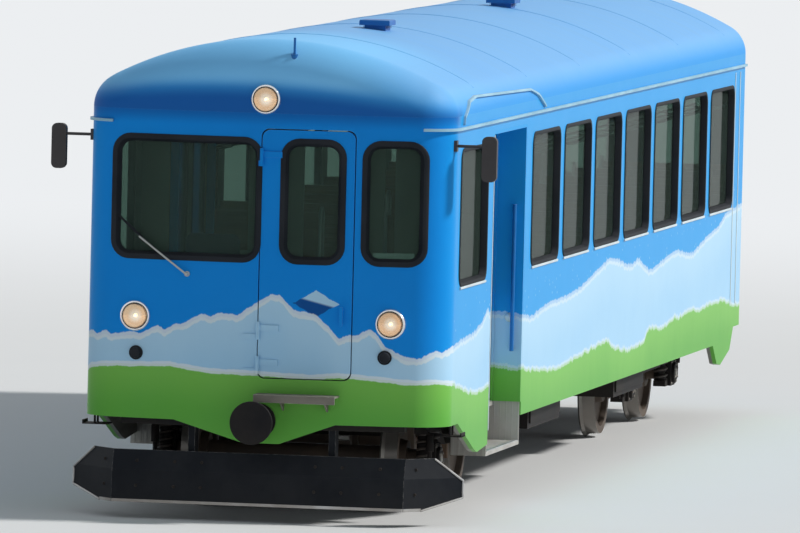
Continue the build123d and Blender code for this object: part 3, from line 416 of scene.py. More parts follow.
@dataclass(frozen=True)
class Term:
    """A value in a node tree that can be used in sums."""

    tree: bpy.types.NodeTree
    socket: bpy.types.NodeSocket

    def math(self, operation: str, *others: Union["Term", float]) -> "Term":
        """A Math node.

        Args:
            operation: its kind.
            others: what comes after this value.

        Returns:
            The node's value.
        """
        node = self.tree.nodes.new("ShaderNodeMath")
        node.operation = operation
        for slot, value in zip(node.inputs, (self, *others)):
            plug(slot, value)
        return Term(self.tree, node.outputs[0])

    def __add__(self, other: Union["Term", float]) -> "Term":
        """Sum."""
        return self.math("ADD", other)

    def __sub__(self, other: Union["Term", float]) -> "Term":
        """Difference."""
        return self.math("SUBTRACT", other)

    def __mul__(self, other: Union["Term", float]) -> "Term":
        """Product."""
        return self.math("MULTIPLY", other)

    def __rsub__(self, other: float) -> "Term":
        """The number less this value."""
        return self * -1.0 + other

    def abs(self) -> "Term":
        """Size without its sign."""
        return self.math("ABSOLUTE")

    def smooth(self, low: float, high: float) -> "Term":
        """Smooth step.

        Args:
            low: where it is 0.
            high: where it is 1, which may be below low.

        Returns:
            The step's value.
        """
        node = self.tree.nodes.new("ShaderNodeMapRange")
        node.interpolation_type = "SMOOTHSTEP"
        ends = sorted([(low, 0.0), (high, 1.0)])
        names = ("From Min", "To Min", "From Max", "To Max")
        fill(node, {"Value": self, **dict(zip(names, (*ends[0], *ends[1])))})
        return Term(self.tree, node.outputs["Result"])


Source = Union[Term, float, Sequence[float]]


def plug(socket: bpy.types.NodeSocket, value: Source) -> None:
    """Gives a socket its value.

    Args:
        socket: the socket.
        value: a term, which is linked, or a number, vector or colour.
    """
    if isinstance(value, Term):
        value.tree.links.new(value.socket, socket)
    else:
        socket.default_value = (*value, 1.0) if socket.type == "RGBA" else value


def fill(node: bpy.types.Node, inputs: dict[str, Source]) -> None:
    """Plugs each value into the node's input of that name."""
    for name, value in inputs.items():
        plug(node.inputs[name], value)


class Canvas:
    """Draws nodes into one tree."""

    def __init__(self, tree: bpy.types.NodeTree) -> None:
        """Keeps the tree."""
        self.tree = tree

    def node(self, kind: str, output: str, inputs: dict[str, Source], **settings: object) -> Term:
        """Adds a node.

        Args:
            kind: the node's type.
            output: name of the output that is returned.
            inputs: values or terms for its named inputs.
            settings: properties of the node.

        Returns:
            The named output.
        """
        node = self.tree.nodes.new(kind)
        for name, value in settings.items():
            setattr(node, name, value)
        fill(node, inputs)
        return Term(self.tree, node.outputs[output])

    def place(self) -> Term:
        """Object coordinates as a vector."""
        return self.node("ShaderNodeTexCoord", "Object", {})

    def facing(self) -> Term:
        """How far the face looks up, from -1 to 1."""
        return self.split(self.node("ShaderNodeNewGeometry", "Normal", {}))[2]

    def split(self, vector: Term) -> tuple[Term, Term, Term]:
        """The x, y and z of a vector."""
        parts = self.node("ShaderNodeSeparateXYZ", "X", {"Vector": vector}).socket.node
        return tuple(Term(self.tree, socket) for socket in parts.outputs)

    def join(self, x: Source, y: Source, z: Source) -> Term:
        """A vector from three values."""
        return self.node("ShaderNodeCombineXYZ", "Vector", {"X": x, "Y": y, "Z": z})

    def stretch(self, vector: Term, scale: Point) -> Term:
        """The vector scaled axis by axis."""
        return self.node("ShaderNodeMapping", "Vector", {"Vector": vector, "Scale": scale})

    def noise(self, vector: Term, scale: Source, detail: float = 3.0, roughness: float = 0.55) -> Term:
        """Cloudy noise from 0 to 1."""
        inputs = {"Vector": vector, "Scale": scale, "Detail": detail, "Roughness": roughness}
        return self.node("ShaderNodeTexNoise", "Fac", inputs)

    def cells(self, vector: Term, scale: float) -> tuple[Term, Term]:
        """Distance to the nearest cell centre and a random value for each cell.

        Args:
            vector: where the cells are read.
            scale: cells in a metre.

        Returns:
            The distance and the random value.
        """
        away = self.node("ShaderNodeTexVoronoi", "Distance", {"Vector": vector, "Scale": scale})
        colour = Term(self.tree, away.socket.node.outputs["Color"])
        return away, self.node("ShaderNodeSeparateColor", "Red", {"Color": colour})

    def mix(self, share: Source, first: Source, second: Source) -> Term:
        """Colour between two.

        Args:
            share: 0 for the first, 1 for the second.
            first: a colour.
            second: a colour.

        Returns:
            The mixed colour.
        """
        node = self.tree.nodes.new("ShaderNodeMix")
        node.data_type = "RGBA"
        for number, value in ((0, share), (6, first), (7, second)):
            plug(node.inputs[number], value)
        return Term(self.tree, node.outputs[2])

    def blend(self, share: Term, first: Term, second: Term) -> Term:
        """Number between the first (share 0) and the second (share 1)."""
        return first + (second - first) * share

    def curve(self, value: Term, points: Sequence[Span], heights: Span = (0.5, 2.0)) -> Term:
        """A height read off a line through points.

        Args:
            value: position along the line.
            points: (position, height) pairs.
            heights: lowest and highest height of the scale.

        Returns:
            The height at the value.
        """
        node = self.tree.nodes.new("ShaderNodeFloatCurve")
        marks = node.mapping.curves[0].points
        start, length, rise = points[0][0], points[-1][0] - points[0][0], heights[1] - heights[0]
        scaled = [((position - start) / length, (height - heights[0]) / rise) for position, height in points]
        marks[0].location, marks[1].location = scaled[:2]
        for mark in scaled[2:]:
            marks.new(*mark)
        for mark in marks:
            mark.handle_type = "VECTOR"
        node.mapping.update()
        fill(node, {"Value": (value - start) * (1.0 / length)})
        return Term(self.tree, node.outputs[0]) * rise + heights[0]

    def bump(self, height: Term, strength: float, distance: float) -> Term:
        """Normal from a height."""
        inputs = {"Height": height, "Strength": strength, "Distance": distance}
        return self.node("ShaderNodeBump", "Normal", inputs)

    def effect(self, group: bpy.types.NodeTree, inputs: dict[str, Source]) -> dict[str, Term]:
        """Places a shared effect in this tree.

        Args:
            group: the effect.
            inputs: values or terms for its inputs.

        Returns:
            Its outputs by name.
        """
        node = self.tree.nodes.new("ShaderNodeGroup")
        node.node_tree = group
        fill(node, inputs)
        return {socket.name: Term(self.tree, socket) for socket in node.outputs}


Drawing = Callable[[Canvas, dict[str, Term]], dict[str, Term]]


def make_group(name: str, inputs: dict[str, Source], draw: Drawing) -> bpy.types.NodeTree:
    """Builds a shared effect.

    Args:
        name: name of the node group.
        inputs: default of each input; three numbers make a colour.
        draw: draws the nodes and gives each output; one named Color is a colour, the rest are numbers.

    Returns:
        The node group.
    """
    tree = bpy.data.node_groups.new(name, "ShaderNodeTree")
    for label, default in inputs.items():
        number = isinstance(default, float)
        kind = "NodeSocketFloat" if number else "NodeSocketColor"
        socket = tree.interface.new_socket(name=label, in_out="INPUT", socket_type=kind)
        socket.default_value = default if number else (*default, 1.0)
    enter = tree.nodes.new("NodeGroupInput")
    found = draw(Canvas(tree), {label: Term(tree, enter.outputs[label]) for label in inputs})
    for label in found:
        kind = "NodeSocketColor" if label == "Color" else "NodeSocketFloat"
        tree.interface.new_socket(name=label, in_out="OUTPUT", socket_type=kind)
    fill(tree.nodes.new("NodeGroupOutput"), found)
    return tree


def shared(name: str, inputs: dict[str, Source]) -> Callable[[Drawing], Callable[[], bpy.types.NodeTree]]:
    """Turns a drawing into a call that gives its node group, which is built once."""
    return lambda draw: lru_cache(maxsize=None)(lambda: make_group(name, inputs, draw))


@shared("edge_wear", {"Width": 0.006, "Scale": 30.0, "Amount": 1.0})
def wear_group(canvas: Canvas, given: dict[str, Term]) -> dict[str, Term]:
    """Mask of rubbed edges, where the rounded normal leaves the true one, broken up by noise.

    Args:
        canvas: where it is drawn.
        given: the effect's inputs.

    Returns:
        Its outputs.
    """
    rounded = canvas.node("ShaderNodeBevel", "Normal", {"Radius": given["Width"]}, samples=4)
    true = canvas.node("ShaderNodeNewGeometry", "Normal", {})
    alike = canvas.node("ShaderNodeVectorMath", "Value", {}, operation="DOT_PRODUCT")
    for slot, value in zip(alike.socket.node.inputs, (rounded, true)):
        plug(slot, value)
    broken = canvas.noise(canvas.place(), given["Scale"], 4.0, 0.65).smooth(0.35, 0.62)
    return {"Mask": (1.0 - alike).smooth(0.01, 0.12) * broken * given["Amount"]}


@shared(
    "track_dust",
    {"Color": (0.5, 0.5, 0.5), "Dust": (0.24, 0.19, 0.14), "Top": 1.2, "Lying": 0.3, "Amount": 0.5},
)
def dust_group(canvas: Canvas, given: dict[str, Term]) -> dict[str, Term]:
    """Track dust that lies thickest low on the car and on faces that look up.

    Args:
        canvas: where it is drawn.
        given: the effect's inputs.

    Returns:
        Its outputs.
    """
    place = canvas.place()
    low = 1.0 - canvas.split(place)[2].math("DIVIDE", given["Top"]).smooth(0.0, 1.0)
    lying = canvas.facing().smooth(0.3, 0.95) * given["Lying"]
    cloud = canvas.noise(place, 2.3, 5.0, 0.6).smooth(0.3, 0.7)
    fine = canvas.noise(canvas.stretch(place, (1.0, 1.0, 0.25)), 26.0, 3.0, 0.6)
    mask = (low * (cloud * 0.7 + 0.3) * (fine + 0.25) + lying * (fine * 0.7 + 0.3)) * given["Amount"]
    mask = mask.math("MINIMUM", 1.0)
    return {"Color": canvas.mix(mask, given["Color"], given["Dust"]), "Mask": mask}


@shared("grain", {"Scale": 180.0, "Broad": 3.0})
def grain_group(canvas: Canvas, given: dict[str, Term]) -> dict[str, Term]:
    """Fine surface grain as a height, and a slow change of shade.

    Args:
        canvas: where it is drawn.
        given: the effect's inputs.

    Returns:
        Its outputs.
    """
    fine = canvas.noise(canvas.place(), given["Scale"], 4.0, 0.6)
    broad = canvas.noise(canvas.place(), given["Broad"], 4.0, 0.55)
    return {"Height": fine * 0.6 + broad * 0.4, "Shade": broad, "Fine": fine}


@dataclass(frozen=True)
class LiveryLines:
    """The lines of the mountain livery, as (position, height) pairs.

    The position s runs round the car from the middle of the front: across the front face, round
    the corner and back along the side. Heights are above the rail head.
    """

    ridge_front: tuple[Span, ...] = (
        (-1.75, 1.262), (-1.52, 1.294), (-1.39, 1.276), (-1.29, 1.302), (-1.23, 1.273), (-1.13, 1.299),
        (-0.97, 1.295), (-0.82, 1.355), (-0.76, 1.323), (-0.69, 1.367), (-0.60, 1.379), (-0.47, 1.454),
        (-0.39, 1.434), (-0.30, 1.466), (-0.18, 1.448), (-0.05, 1.538), (0.07, 1.615), (0.14, 1.601),
        (0.25, 1.498), (0.41, 1.477), (0.49, 1.408), (0.60, 1.305), (0.68, 1.334), (0.75, 1.330),
        (0.84, 1.382), (0.89, 1.355), (0.98, 1.250), (1.14, 1.182), (1.25, 1.171), (1.44, 1.234),
        (1.52, 1.222), (1.75, 1.262),
    )
    ridge_side: tuple[Span, ...] = (
        (1.35, 1.262), (1.75, 1.262), (2.10, 1.290), (2.54, 1.310), (2.92, 1.369), (3.12, 1.461),
        (3.30, 1.400), (4.49, 1.345), (4.82, 1.314), (5.03, 1.298), (5.42, 1.335), (5.79, 1.362),
        (6.58, 1.371), (7.20, 1.404), (7.90, 1.490), (8.53, 1.563), (9.09, 1.511), (9.34, 1.466),
        (9.64, 1.459), (9.85, 1.496), (10.08, 1.443), (10.40, 1.375), (10.59, 1.369), (10.91, 1.401),
        (11.51, 1.450), (11.82, 1.460), (12.29, 1.411), (12.60, 1.401), (13.21, 1.491), (13.92, 1.558),
        (14.20, 1.640), (15.25, 1.700),
    )
    green_front: tuple[Span, ...] = (
        (-1.75, 1.010), (-1.51, 1.066), (-1.29, 1.085), (-0.97, 1.094), (-0.71, 1.104), (-0.53, 1.079),
        (-0.36, 1.063), (0.01, 1.058), (0.20, 1.049), (0.40, 1.043), (0.60, 1.061), (0.81, 1.052),
        (1.06, 1.030), (1.24, 1.022), (1.43, 1.031), (1.75, 1.010),
    )
    green_side: tuple[Span, ...] = (
        (1.35, 1.010), (1.76, 1.010), (2.08, 0.964), (2.40, 0.916), (2.73, 0.887), (3.10, 0.900),
        (3.60, 0.960), (4.54, 0.967), (4.88, 0.935), (5.42, 0.900), (6.17, 0.862), (6.52, 0.875),
        (7.21, 0.905), (7.90, 0.930), (8.48, 0.952), (8.78, 0.875), (9.44, 0.813), (10.25, 0.835),
        (10.39, 0.918), (10.68, 0.931), (10.99, 0.897), (11.29, 0.905), (11.67, 0.946), (12.05, 0.938),
        (12.51, 0.970), (12.99, 0.937), (13.46, 0.962), (14.25, 0.957), (14.75, 0.880), (15.25, 0.880),
    )
    far_peak: tuple[float, float, float, float] = (0.40, 1.578, 0.165, 0.097)
    corner: float = 1.75


LIVERY_COLOURS: dict[str, Source] = {
    "Blue": (0.008, 0.290, 0.84),
    "Deep Blue": (0.006, 0.240, 0.75),
    # Lighter blue on the sides and front corners: painted sunlight on the same paint as the front.
    "Side Blue": (0.014, 0.365, 0.80),
    "Shade": (0.008, 0.085, 0.32),
    # Darker blue on the front just under the eaves: painted shade below the roof dome.
    "Brow": (0.008, 0.130, 0.47),
    "Haze": (0.45, 0.70, 0.90),
    "Band": (0.32, 0.60, 0.87),
    "Green": (0.130, 0.43, 0.060),
    "Light Green": (0.20, 0.52, 0.085),
    "White": (0.74, 0.83, 0.88),
}


@shared("mountain_livery", LIVERY_COLOURS)
def livery_group(canvas: Canvas, given: dict[str, Term]) -> dict[str, Term]:
    """The body's colours, with painted sunlight on the sides, painted shade under the front's eaves, and a
    mask of the faces that look into the car.

    The height is compared with the ridge and meadow lines at the position round the car. A face
    looks inwards where it lies deeper than the wall below the outer form.

    Args:
        canvas: where it is drawn.
        given: the effect's inputs.

    Returns:
        Its outputs.
    """
    lines = LiveryLines()
    x, y, z = canvas.split(canvas.place())
    across, back = x.abs(), (y - FRONT).math("MAXIMUM", 0.0)
    s = across + back
    signed = s * x.math("SIGN")
    on_side = s.smooth(lines.corner - 0.01, lines.corner + 0.01)
    height = z - RAIL
    ridge, meadow = (
        canvas.blend(on_side, canvas.curve(signed, front), canvas.curve(s, side))
        for front, side in ((lines.ridge_front, lines.ridge_side), (lines.green_front, lines.green_side))
    )
    jag = canvas.noise(canvas.join(signed, 0.0, 0.0), 11.0, 5.0, 0.7) - 0.5
    ridge = ridge + jag * (on_side * 0.045 + 0.060)
    leaves = canvas.noise(canvas.join(signed, 4.0, 0.0), 6.5, 4.0, 0.75) - 0.5
    meadow = meadow + leaves * (on_side * 0.11 + 0.025)
    over_ridge, under_meadow = height - ridge, meadow - height
    cloud = canvas.noise(canvas.place(), 1.1, 4.0, 0.6)
    sky = canvas.mix(cloud, given["Blue"], given["Deep Blue"])
    # The sides and front corners are painted a lighter blue than the front: painted sunlight.
    sky = canvas.mix(s.smooth(1.25, 2.0) * 0.85, sky, given["Side Blue"])
    centre, middle, half_width, half_height = lines.far_peak
    aside, above = x - centre, height - middle
    lozenge = aside.abs() * (1.0 / half_width) + above.abs() * (1.0 / half_height) + jag * 0.5
    peak = canvas.mix((above + aside * 0.25).smooth(0.0, 0.02), given["Shade"], given["Haze"])
    sky = canvas.mix(lozenge.smooth(1.03, 0.97) * back.smooth(0.5, 0.45), sky, peak)
    dots, pick = canvas.cells(canvas.stretch(canvas.place(), (1.0, 1.0, 1.3)), 11.0)
    zone = over_ridge.smooth(0.42, 0.02) * over_ridge.smooth(0.0, 0.02) * on_side
    sky = canvas.mix(dots.smooth(0.16, 0.12) * pick.smooth(0.74, 0.76) * zone * 0.6, sky, given["Haze"])
    deep = (over_ridge * -1.0).smooth(0.0, 0.4) * (cloud * 0.6 + 0.2)
    band = canvas.mix(deep, given["Haze"], given["Band"])
    colour = canvas.mix(over_ridge.smooth(0.004, -0.004), sky, band)
    grass = canvas.mix(under_meadow.smooth(0.0, 0.35), given["Light Green"], given["Green"])
    colour = canvas.mix(under_meadow.smooth(-0.004, 0.004), colour, grass)
    drift = canvas.noise(canvas.join(signed, 8.0, 0.0), 5.0, 3.0, 0.7) * 0.036
    snow = (over_ridge.abs() - drift).smooth(0.012, 0.002)
    edge = (under_meadow.abs() - drift * 0.7).smooth(0.010, 0.002)
    colour = canvas.mix(snow.math("MAXIMUM", edge) * (on_side * -0.3 + 0.85), colour, given["White"])
    # Darker band on the front just under the eaves: painted shade below the roof dome.
    brow_shade = z.smooth(EAVES - 0.11, EAVES) * back.smooth(0.55, 0.35)
    colour = canvas.mix(brow_shade * 0.85, colour, given["Brow"])
    crown = (ROOF_RADIUS**2 - across * across).math("SQRT") + ROOF_CENTRE - z
    reach = 0.30
    gaps = (HALF - across, y - FRONT - x * x * 0.0801, crown)
    a, b, c = ((reach - gap).math("MAXIMUM", 0.0) for gap in gaps)
    spread = (a * a + b * b + c * c).math("SQRT")
    return {"Color": colour, "Inside": (reach - spread).math("MINIMUM", REAR - y).smooth(0.028, 0.036)}


# Finishes


def blank(name: str) -> tuple[bpy.types.Material, Canvas, bpy.types.Node]:
    """A new material.

    Args:
        name: the material's name.

    Returns:
        The material, its canvas and its shader.
    """
    material = bpy.data.materials.new(name)
    material.use_nodes = True
    tree = material.node_tree
    return material, Canvas(tree), next(node for node in tree.nodes if node.type == "BSDF_PRINCIPLED")


@dataclass(frozen=True)
class Finish:
    """A painted, moulded or metal surface with grain, dust and rubbed edges.

    Args:
        name: the material's name.
        colour: main colour.
        shade: colour of its darker or paler patches.
        roughness: lowest and highest roughness.
        metallic: 0 for paint and plastic, 1 for bare metal.
        grain: scale of the fine grain.
        broad: scale of the slow change of shade.
        relief: strength of the grain's bump.
        dust: how much track dust lies on it.
        dust_top: height up to which dust clings to upright faces.
        wear: how far edges are rubbed.
        worn: colour under the rubbed edges.
        coat: weight of a clear coat.
        specular: strength of the plain reflection.
    """

    name: str
    colour: Colour
    shade: Colour
    roughness: Span = (0.4, 0.6)
    metallic: float = 0.0
    grain: float = 180.0
    broad: float = 3.0
    relief: float = 0.08
    dust: float = 0.3
    dust_top: float = 1.2
    wear: float = 0.0
    worn: Colour = (0.32, 0.30, 0.28)
    coat: float = 0.0
    specular: float = 0.5

    def pattern(self, canvas: Canvas, shade: Term) -> Term:
        """Colour before dust and wear."""
        return canvas.mix(shade.smooth(0.3, 0.7), self.colour, self.shade)

    def relief_of(self, canvas: Canvas, height: Term) -> Term:
        """Height before the bump; a finish with ribs or weave adds them here."""
        return height

    def polish(self, canvas: Canvas, shader: bpy.types.Node) -> None:
        """Last changes to the shader; most finishes have none."""

    @lru_cache(maxsize=None)
    def material(self) -> bpy.types.Material:
        """Builds the material once.

        Returns:
            The material.
        """
        material, canvas, shader = blank(self.name)
        grain = canvas.effect(grain_group(), {"Scale": self.grain, "Broad": self.broad})
        shade, (low, high) = grain["Shade"], self.roughness
        colour = self.pattern(canvas, shade)
        rough = (grain["Fine"] * 0.5 + shade * 0.5) * (high - low) + low
        if self.wear:
            mask = canvas.effect(wear_group(), {"Amount": self.wear})["Mask"]
            colour = canvas.mix(mask, colour, self.worn)
            rough = rough - mask * 0.15
        if self.dust:
            inputs = {"Color": colour, "Amount": self.dust, "Top": self.dust_top}
            dusty = canvas.effect(dust_group(), inputs)
            colour, rough = dusty["Color"], (rough + dusty["Mask"] * 0.3).math("MINIMUM", 1.0)
        relief = self.relief_of(canvas, grain["Height"])
        inputs = {
            "Base Color": colour,
            "Roughness": rough,
            "Normal": canvas.bump(relief, self.relief, 0.002),
            "Metallic": self.metallic,
            "Coat Weight": self.coat,
            "Coat Roughness": 0.15,
            "Specular IOR Level": self.specular,
        }
        fill(shader, inputs)
        self.polish(canvas, shader)
        return material


@dataclass(frozen=True)
class LiveryPaint(Finish):
    """Body paint with the mountain livery outside and pale panelling inside."""

    lining: Colour = (0.20, 0.20, 0.18)
    inner: InnerFace = InnerFace.SHELL

    def pattern(self, canvas: Canvas, shade: Term) -> Term:
        """Livery outside, lining colour on faces that look into the car.

        Args:
            canvas: where it is drawn.
            shade: the slow change of shade.

        Returns:
            The colour.
        """
        livery = canvas.effect(livery_group(), {})
        outside = canvas.mix(shade * 0.05, livery["Color"], self.shade)
        if self.inner is InnerFace.NONE:
            return outside
        mask = livery["Inside"]
        if self.inner is InnerFace.LEAF:
            mask = canvas.split(canvas.place())[0].abs().smooth(1.101, 1.098)
        return canvas.mix(mask, outside, self.lining)

    def relief_of(self, canvas: Canvas, height: Term) -> Term:
        """Slow waves of hand-finished sheet are stronger than the grain."""
        return height * 0.25 + canvas.noise(canvas.place(), 1.7, 2.0, 0.5)


@dataclass(frozen=True)
class RoofPaint(Finish):
    """Blue roof paint, streaked by rain from the crown to the eaves, with painted sunlight on faces that look
    up (partly real fading), a painted highlight on the front dome's top and painted shade at its foot.

    Args:
        sunlit_and_faded: colour of faces that look up: painted sunlight, partly real fading.
        crest_highlight: colour along the top of the front dome, a painted highlight.
        dome: colour of the front dome's foot, painted shade.
        lining: colour of the ceiling.
    """

    sunlit_and_faded: Colour = (0.215, 0.49, 0.86)
    crest_highlight: Colour = (0.22, 0.60, 1.0)
    dome: Colour = (0.009, 0.120, 0.44)
    lining: Colour = (0.40, 0.38, 0.34)

    def pattern(self, canvas: Canvas, shade: Term) -> Term:
        """Paints sunlight on faces that look up (partly real fading), draws streaks across the roof, paints a
        highlight on the front dome's top and paints shade at the dome's foot.

        Args:
            canvas: where it is drawn.
            shade: the slow change of shade.

        Returns:
            The colour.
        """
        x, y, z = canvas.split(canvas.place())
        facing = canvas.facing()
        sun = facing.smooth(0.02, 0.80)
        across = canvas.join(x * 0.35, y * 7.0, z * 0.35)
        streak = canvas.noise(across, 2.2, 5.0, 0.65).smooth(0.35, 0.72)
        # Faces that look up are painted paler: painted sunlight, partly real fading.
        colour = canvas.mix(sun * (shade * 0.35 + 0.65), self.colour, self.sunlit_and_faded)
        colour = canvas.mix(streak * 0.16 * sun, colour, self.shade)
        rise = z + x * 0.03 + x * x * 0.06
        # Paler band along the top of the front dome: a painted highlight.
        crest_highlight = rise.smooth(3.13, 3.25) * y.smooth(-4.4, -6.2) * (x.smooth(0.5, 1.2) * -0.75 + 0.95)
        colour = canvas.mix(crest_highlight, colour, self.crest_highlight)
        # The front dome's foot is painted darker: painted shade.
        colour = canvas.mix(rise.smooth(3.22, 3.07) * y.smooth(-6.25, -6.45), colour, self.dome)
        return canvas.mix((facing * -1.0).smooth(0.02, 0.1), colour, self.lining)


@dataclass(frozen=True)
class WheelSteel(Finish):
    """Wheelset steel: rusty brown webs and a bright rolled tread.

    Args:
        bright_from: radius about the axle at which the bright surface starts.
        bright: colour of the bright surface.
    """

    bright_from: float = 0.371
    bright: Colour = (0.18, 0.172, 0.16)

    def pattern(self, canvas: Canvas, shade: Term) -> Term:
        """Bright where the distance from the nearest axle passes the tread radius."""
        return canvas.mix(self.tread(canvas), super().pattern(canvas, shade), self.bright)

    def tread(self, canvas: Canvas) -> Term:
        """Mask of the bright surface.

        Args:
            canvas: where it is drawn.

        Returns:
            1 on the tread.
        """
        _, y, z = canvas.split(canvas.place())
        outer, inner = ((y.abs() - (BOGIE_Y + side * HALF_WHEELBASE)).abs() for side in (1, -1))
        near, rise = outer.math("MINIMUM", inner), z - AXLE_HEIGHT
        return (near * near + rise * rise).math("SQRT").smooth(self.bright_from, self.bright_from + 0.004)

    def polish(self, canvas: Canvas, shader: bpy.types.Node) -> None:
        """Makes the tread metallic and smoother than the web.

        Args:
            canvas: where it is drawn.
            shader: the material's shader.
        """
        mask = self.tread(canvas)
        plain = Term(canvas.tree, shader.inputs["Roughness"].links[0].from_socket)
        fill(shader, {"Metallic": mask * 0.55, "Roughness": canvas.blend(mask, plain, plain * 0.45)})


@dataclass(frozen=True)
class SlatWood(Finish):
    """Varnished bench wood with its grain along the slats, which run across the car."""

    def pattern(self, canvas: Canvas, shade: Term) -> Term:
        """Noise drawn out along X is the wood's figure."""
        figure = canvas.noise(canvas.stretch(canvas.place(), (1.2, 26.0, 26.0)), 2.0, 6.0, 0.6)
        return super().pattern(canvas, figure)


@dataclass(frozen=True)
class TreadPlate(Finish):
    """Step plate with raised lozenges that lie crosswise in turn."""

    pitch: float = 0.032

    def relief_of(self, canvas: Canvas, height: Term) -> Term:
        """Two sets of long bumps, each set in every other cell of a square grid.

        Args:
            canvas: where it is drawn.
            height: the grain.

        Returns:
            The grain with the lozenges.
        """
        x, y, _ = canvas.split(canvas.place())
        cells = [along * (0.707 / self.pitch) for along in (x + y, x - y)]
        u, v = ((cell * math.pi).math("SINE").abs() for cell in cells)
        turn = (cells[0].math("FLOOR") + cells[1].math("FLOOR")).math("PINGPONG", 1.0)
        lobes = (long.smooth(0.72, 0.95) * short.smooth(0.25, 0.55) for long, short in ((u, v), (v, u)))
        return height * 0.3 + canvas.blend(turn, *lobes)


@dataclass(frozen=True)
class SpeckledFloor(Finish):
    """Saloon floor covering with small pale and dark chips."""

    chip: Colour = (0.30, 0.29, 0.27)

    def pattern(self, canvas: Canvas, shade: Term) -> Term:
        """Some cells of a fine cell pattern take the chip colour.

        Args:
            canvas: where it is drawn.
            shade: the slow change of shade.

        Returns:
            The colour.
        """
        distance, pick = canvas.cells(canvas.place(), 160.0)
        chips = distance.smooth(0.45, 0.35) * pick.smooth(0.70, 0.72)
        return canvas.mix(chips, canvas.mix(shade, self.colour, self.shade), self.chip)


@dataclass(frozen=True)
class WovenCloth(Finish):
    """Seat cloth: a plain weave that follows each piece's own UV map."""

    threads: float = 420.0

    def weave(self, canvas: Canvas) -> Term:
        """Warp and weft ribs, one over the other in turn."""
        u, v, _ = canvas.split(canvas.node("ShaderNodeTexCoord", "UV", {}))
        return (u * self.threads).math("SINE") * (v * self.threads).math("SINE") * 0.5 + 0.5

    def pattern(self, canvas: Canvas, shade: Term) -> Term:
        """Threads of two shades."""
        return canvas.mix(self.weave(canvas) * 0.6 + shade * 0.3, self.colour, self.shade)

    def relief_of(self, canvas: Canvas, height: Term) -> Term:
        """The weave is the relief."""
        return self.weave(canvas) + height * 0.3


@dataclass(frozen=True)
class LampBowl(Finish):
    """Silvered lamp bowl, whiter round its bulb and duller at the rim: the bulb's glow and its fall-off are
    painted light and shade.

    Args:
        bulb_glow: colour round the bulb, a painted glow.
        edge: colour at the rim, painted shade.
    """

    bulb_glow: Colour = (1.0, 0.96, 0.90)
    edge: Colour = (0.55, 0.42, 0.32)

    def pattern(self, canvas: Canvas, shade: Term) -> Term:
        """Goes by the distance from the nearest lamp's middle: painted glow near it, painted shade at the
        rim.

        Args:
            canvas: where it is drawn.
            shade: the slow change of shade.

        Returns:
            The colour.
        """
        x, _, z = canvas.split(canvas.place())
        middles = ((x.abs() - LAMP_ACROSS, z - LAMP_HEIGHT), (x, z - ROOF_LAMP_HEIGHT))
        head, roof = ((across * across + up * up).math("SQRT") for across, up in middles)
        near = head.math("MINIMUM", roof)
        # Painted glow round the bulb, then painted shade at the rim.
        lit = canvas.mix(near.smooth(0.062, 0.020), super().pattern(canvas, shade), self.bulb_glow)
        return canvas.mix(near.smooth(0.078, 0.094), lit, self.edge)


@dataclass(frozen=True)
class TintedGlass:
    """Window, lamp or mirror glass with a smooth face and faint smears.

    Args:
        name: the material's name.
        colour: tint.
        roughness: lowest and highest roughness.
        transmission: 1 for clear glass, 0 for a backed mirror.
        metallic: 1 for a silvered mirror.
        specular: strength of the plain reflection.
        glow: strength of its own light.
        ripple: strength of the face's slow waves.
        ior: refractive index.
        sides: share of the tint that panes in the car's sides let through; the darker side panes are painted
            shade.
    """

    name: str
    colour: Colour
    roughness: Span = (0.01, 0.05)
    transmission: float = 1.0
    metallic: float = 0.0
    specular: float = 0.5
    glow: float = 0.0
    ripple: float = 0.004
    ior: float = 1.45
    sides: float = 1.0

    @lru_cache(maxsize=None)
    def material(self) -> bpy.types.Material:
        """Builds the material once.

        Returns:
            The material.
        """
        material, canvas, shader = blank(self.name)
        smears = canvas.noise(canvas.stretch(canvas.place(), (1.0, 1.0, 0.4)), 5.0, 4.0, 0.6)
        darker = [0.8 * c for c in self.colour]
        tint = canvas.mix(smears * 0.35, self.colour, darker)
        # Panes in the car's sides are painted darker than the same glass in the ends: painted shade.
        if self.sides < 1.0:
            across = canvas.split(canvas.place())[0].abs()
            tint = canvas.mix(across.smooth(1.20, 1.25), tint, [self.sides * c for c in self.colour])
        wave = canvas.noise(canvas.place(), 1.3, 1.0, 0.5)
        inputs = {
            "Base Color": tint,
            "Roughness": smears * (self.roughness[1] - self.roughness[0]) + self.roughness[0],
            "Normal": canvas.bump(wave, self.ripple * 25.0, 0.02),
            "Transmission Weight": self.transmission,
            "Metallic": self.metallic,
            "Specular IOR Level": self.specular,
            "IOR": self.ior,
            "Emission Color": canvas.mix(smears * 0.5, self.colour, darker),
            "Emission Strength": self.glow,
        }
        fill(shader, inputs)
        return material


AnyFinish = Union[Finish, TintedGlass]

BODY = LiveryPaint(
    "body_livery", (0.03, 0.25, 0.65), (0.10, 0.24, 0.42), (0.24, 0.36), relief=0.05, dust=0.10, dust_top=0.9,
    wear=0.12, worn=(0.45, 0.56, 0.64), specular=0.04,
)
LEAF = replace(BODY, name="leaf_livery", roughness=(0.26, 0.40), inner=InnerFace.LEAF)
LINING = replace(
    BODY, name="entrance_livery", roughness=(0.35, 0.5), dust=0.20, dust_top=1.0, wear=0.2, specular=0.12,
    inner=InnerFace.NONE,
)
ROOF = RoofPaint(
    "roof_paint", (0.045, 0.34, 0.80), (0.26, 0.42, 0.58), (0.45, 0.6), relief=0.05, dust=0.04, broad=1.6,
    specular=0.12,
)
FITTING_BLUE = Finish(
    "roof_fitting_blue", (0.010, 0.125, 0.42), (0.020, 0.17, 0.48), (0.35, 0.5), relief=0.06, dust=0.05,
    wear=0.2, specular=0.25,
)
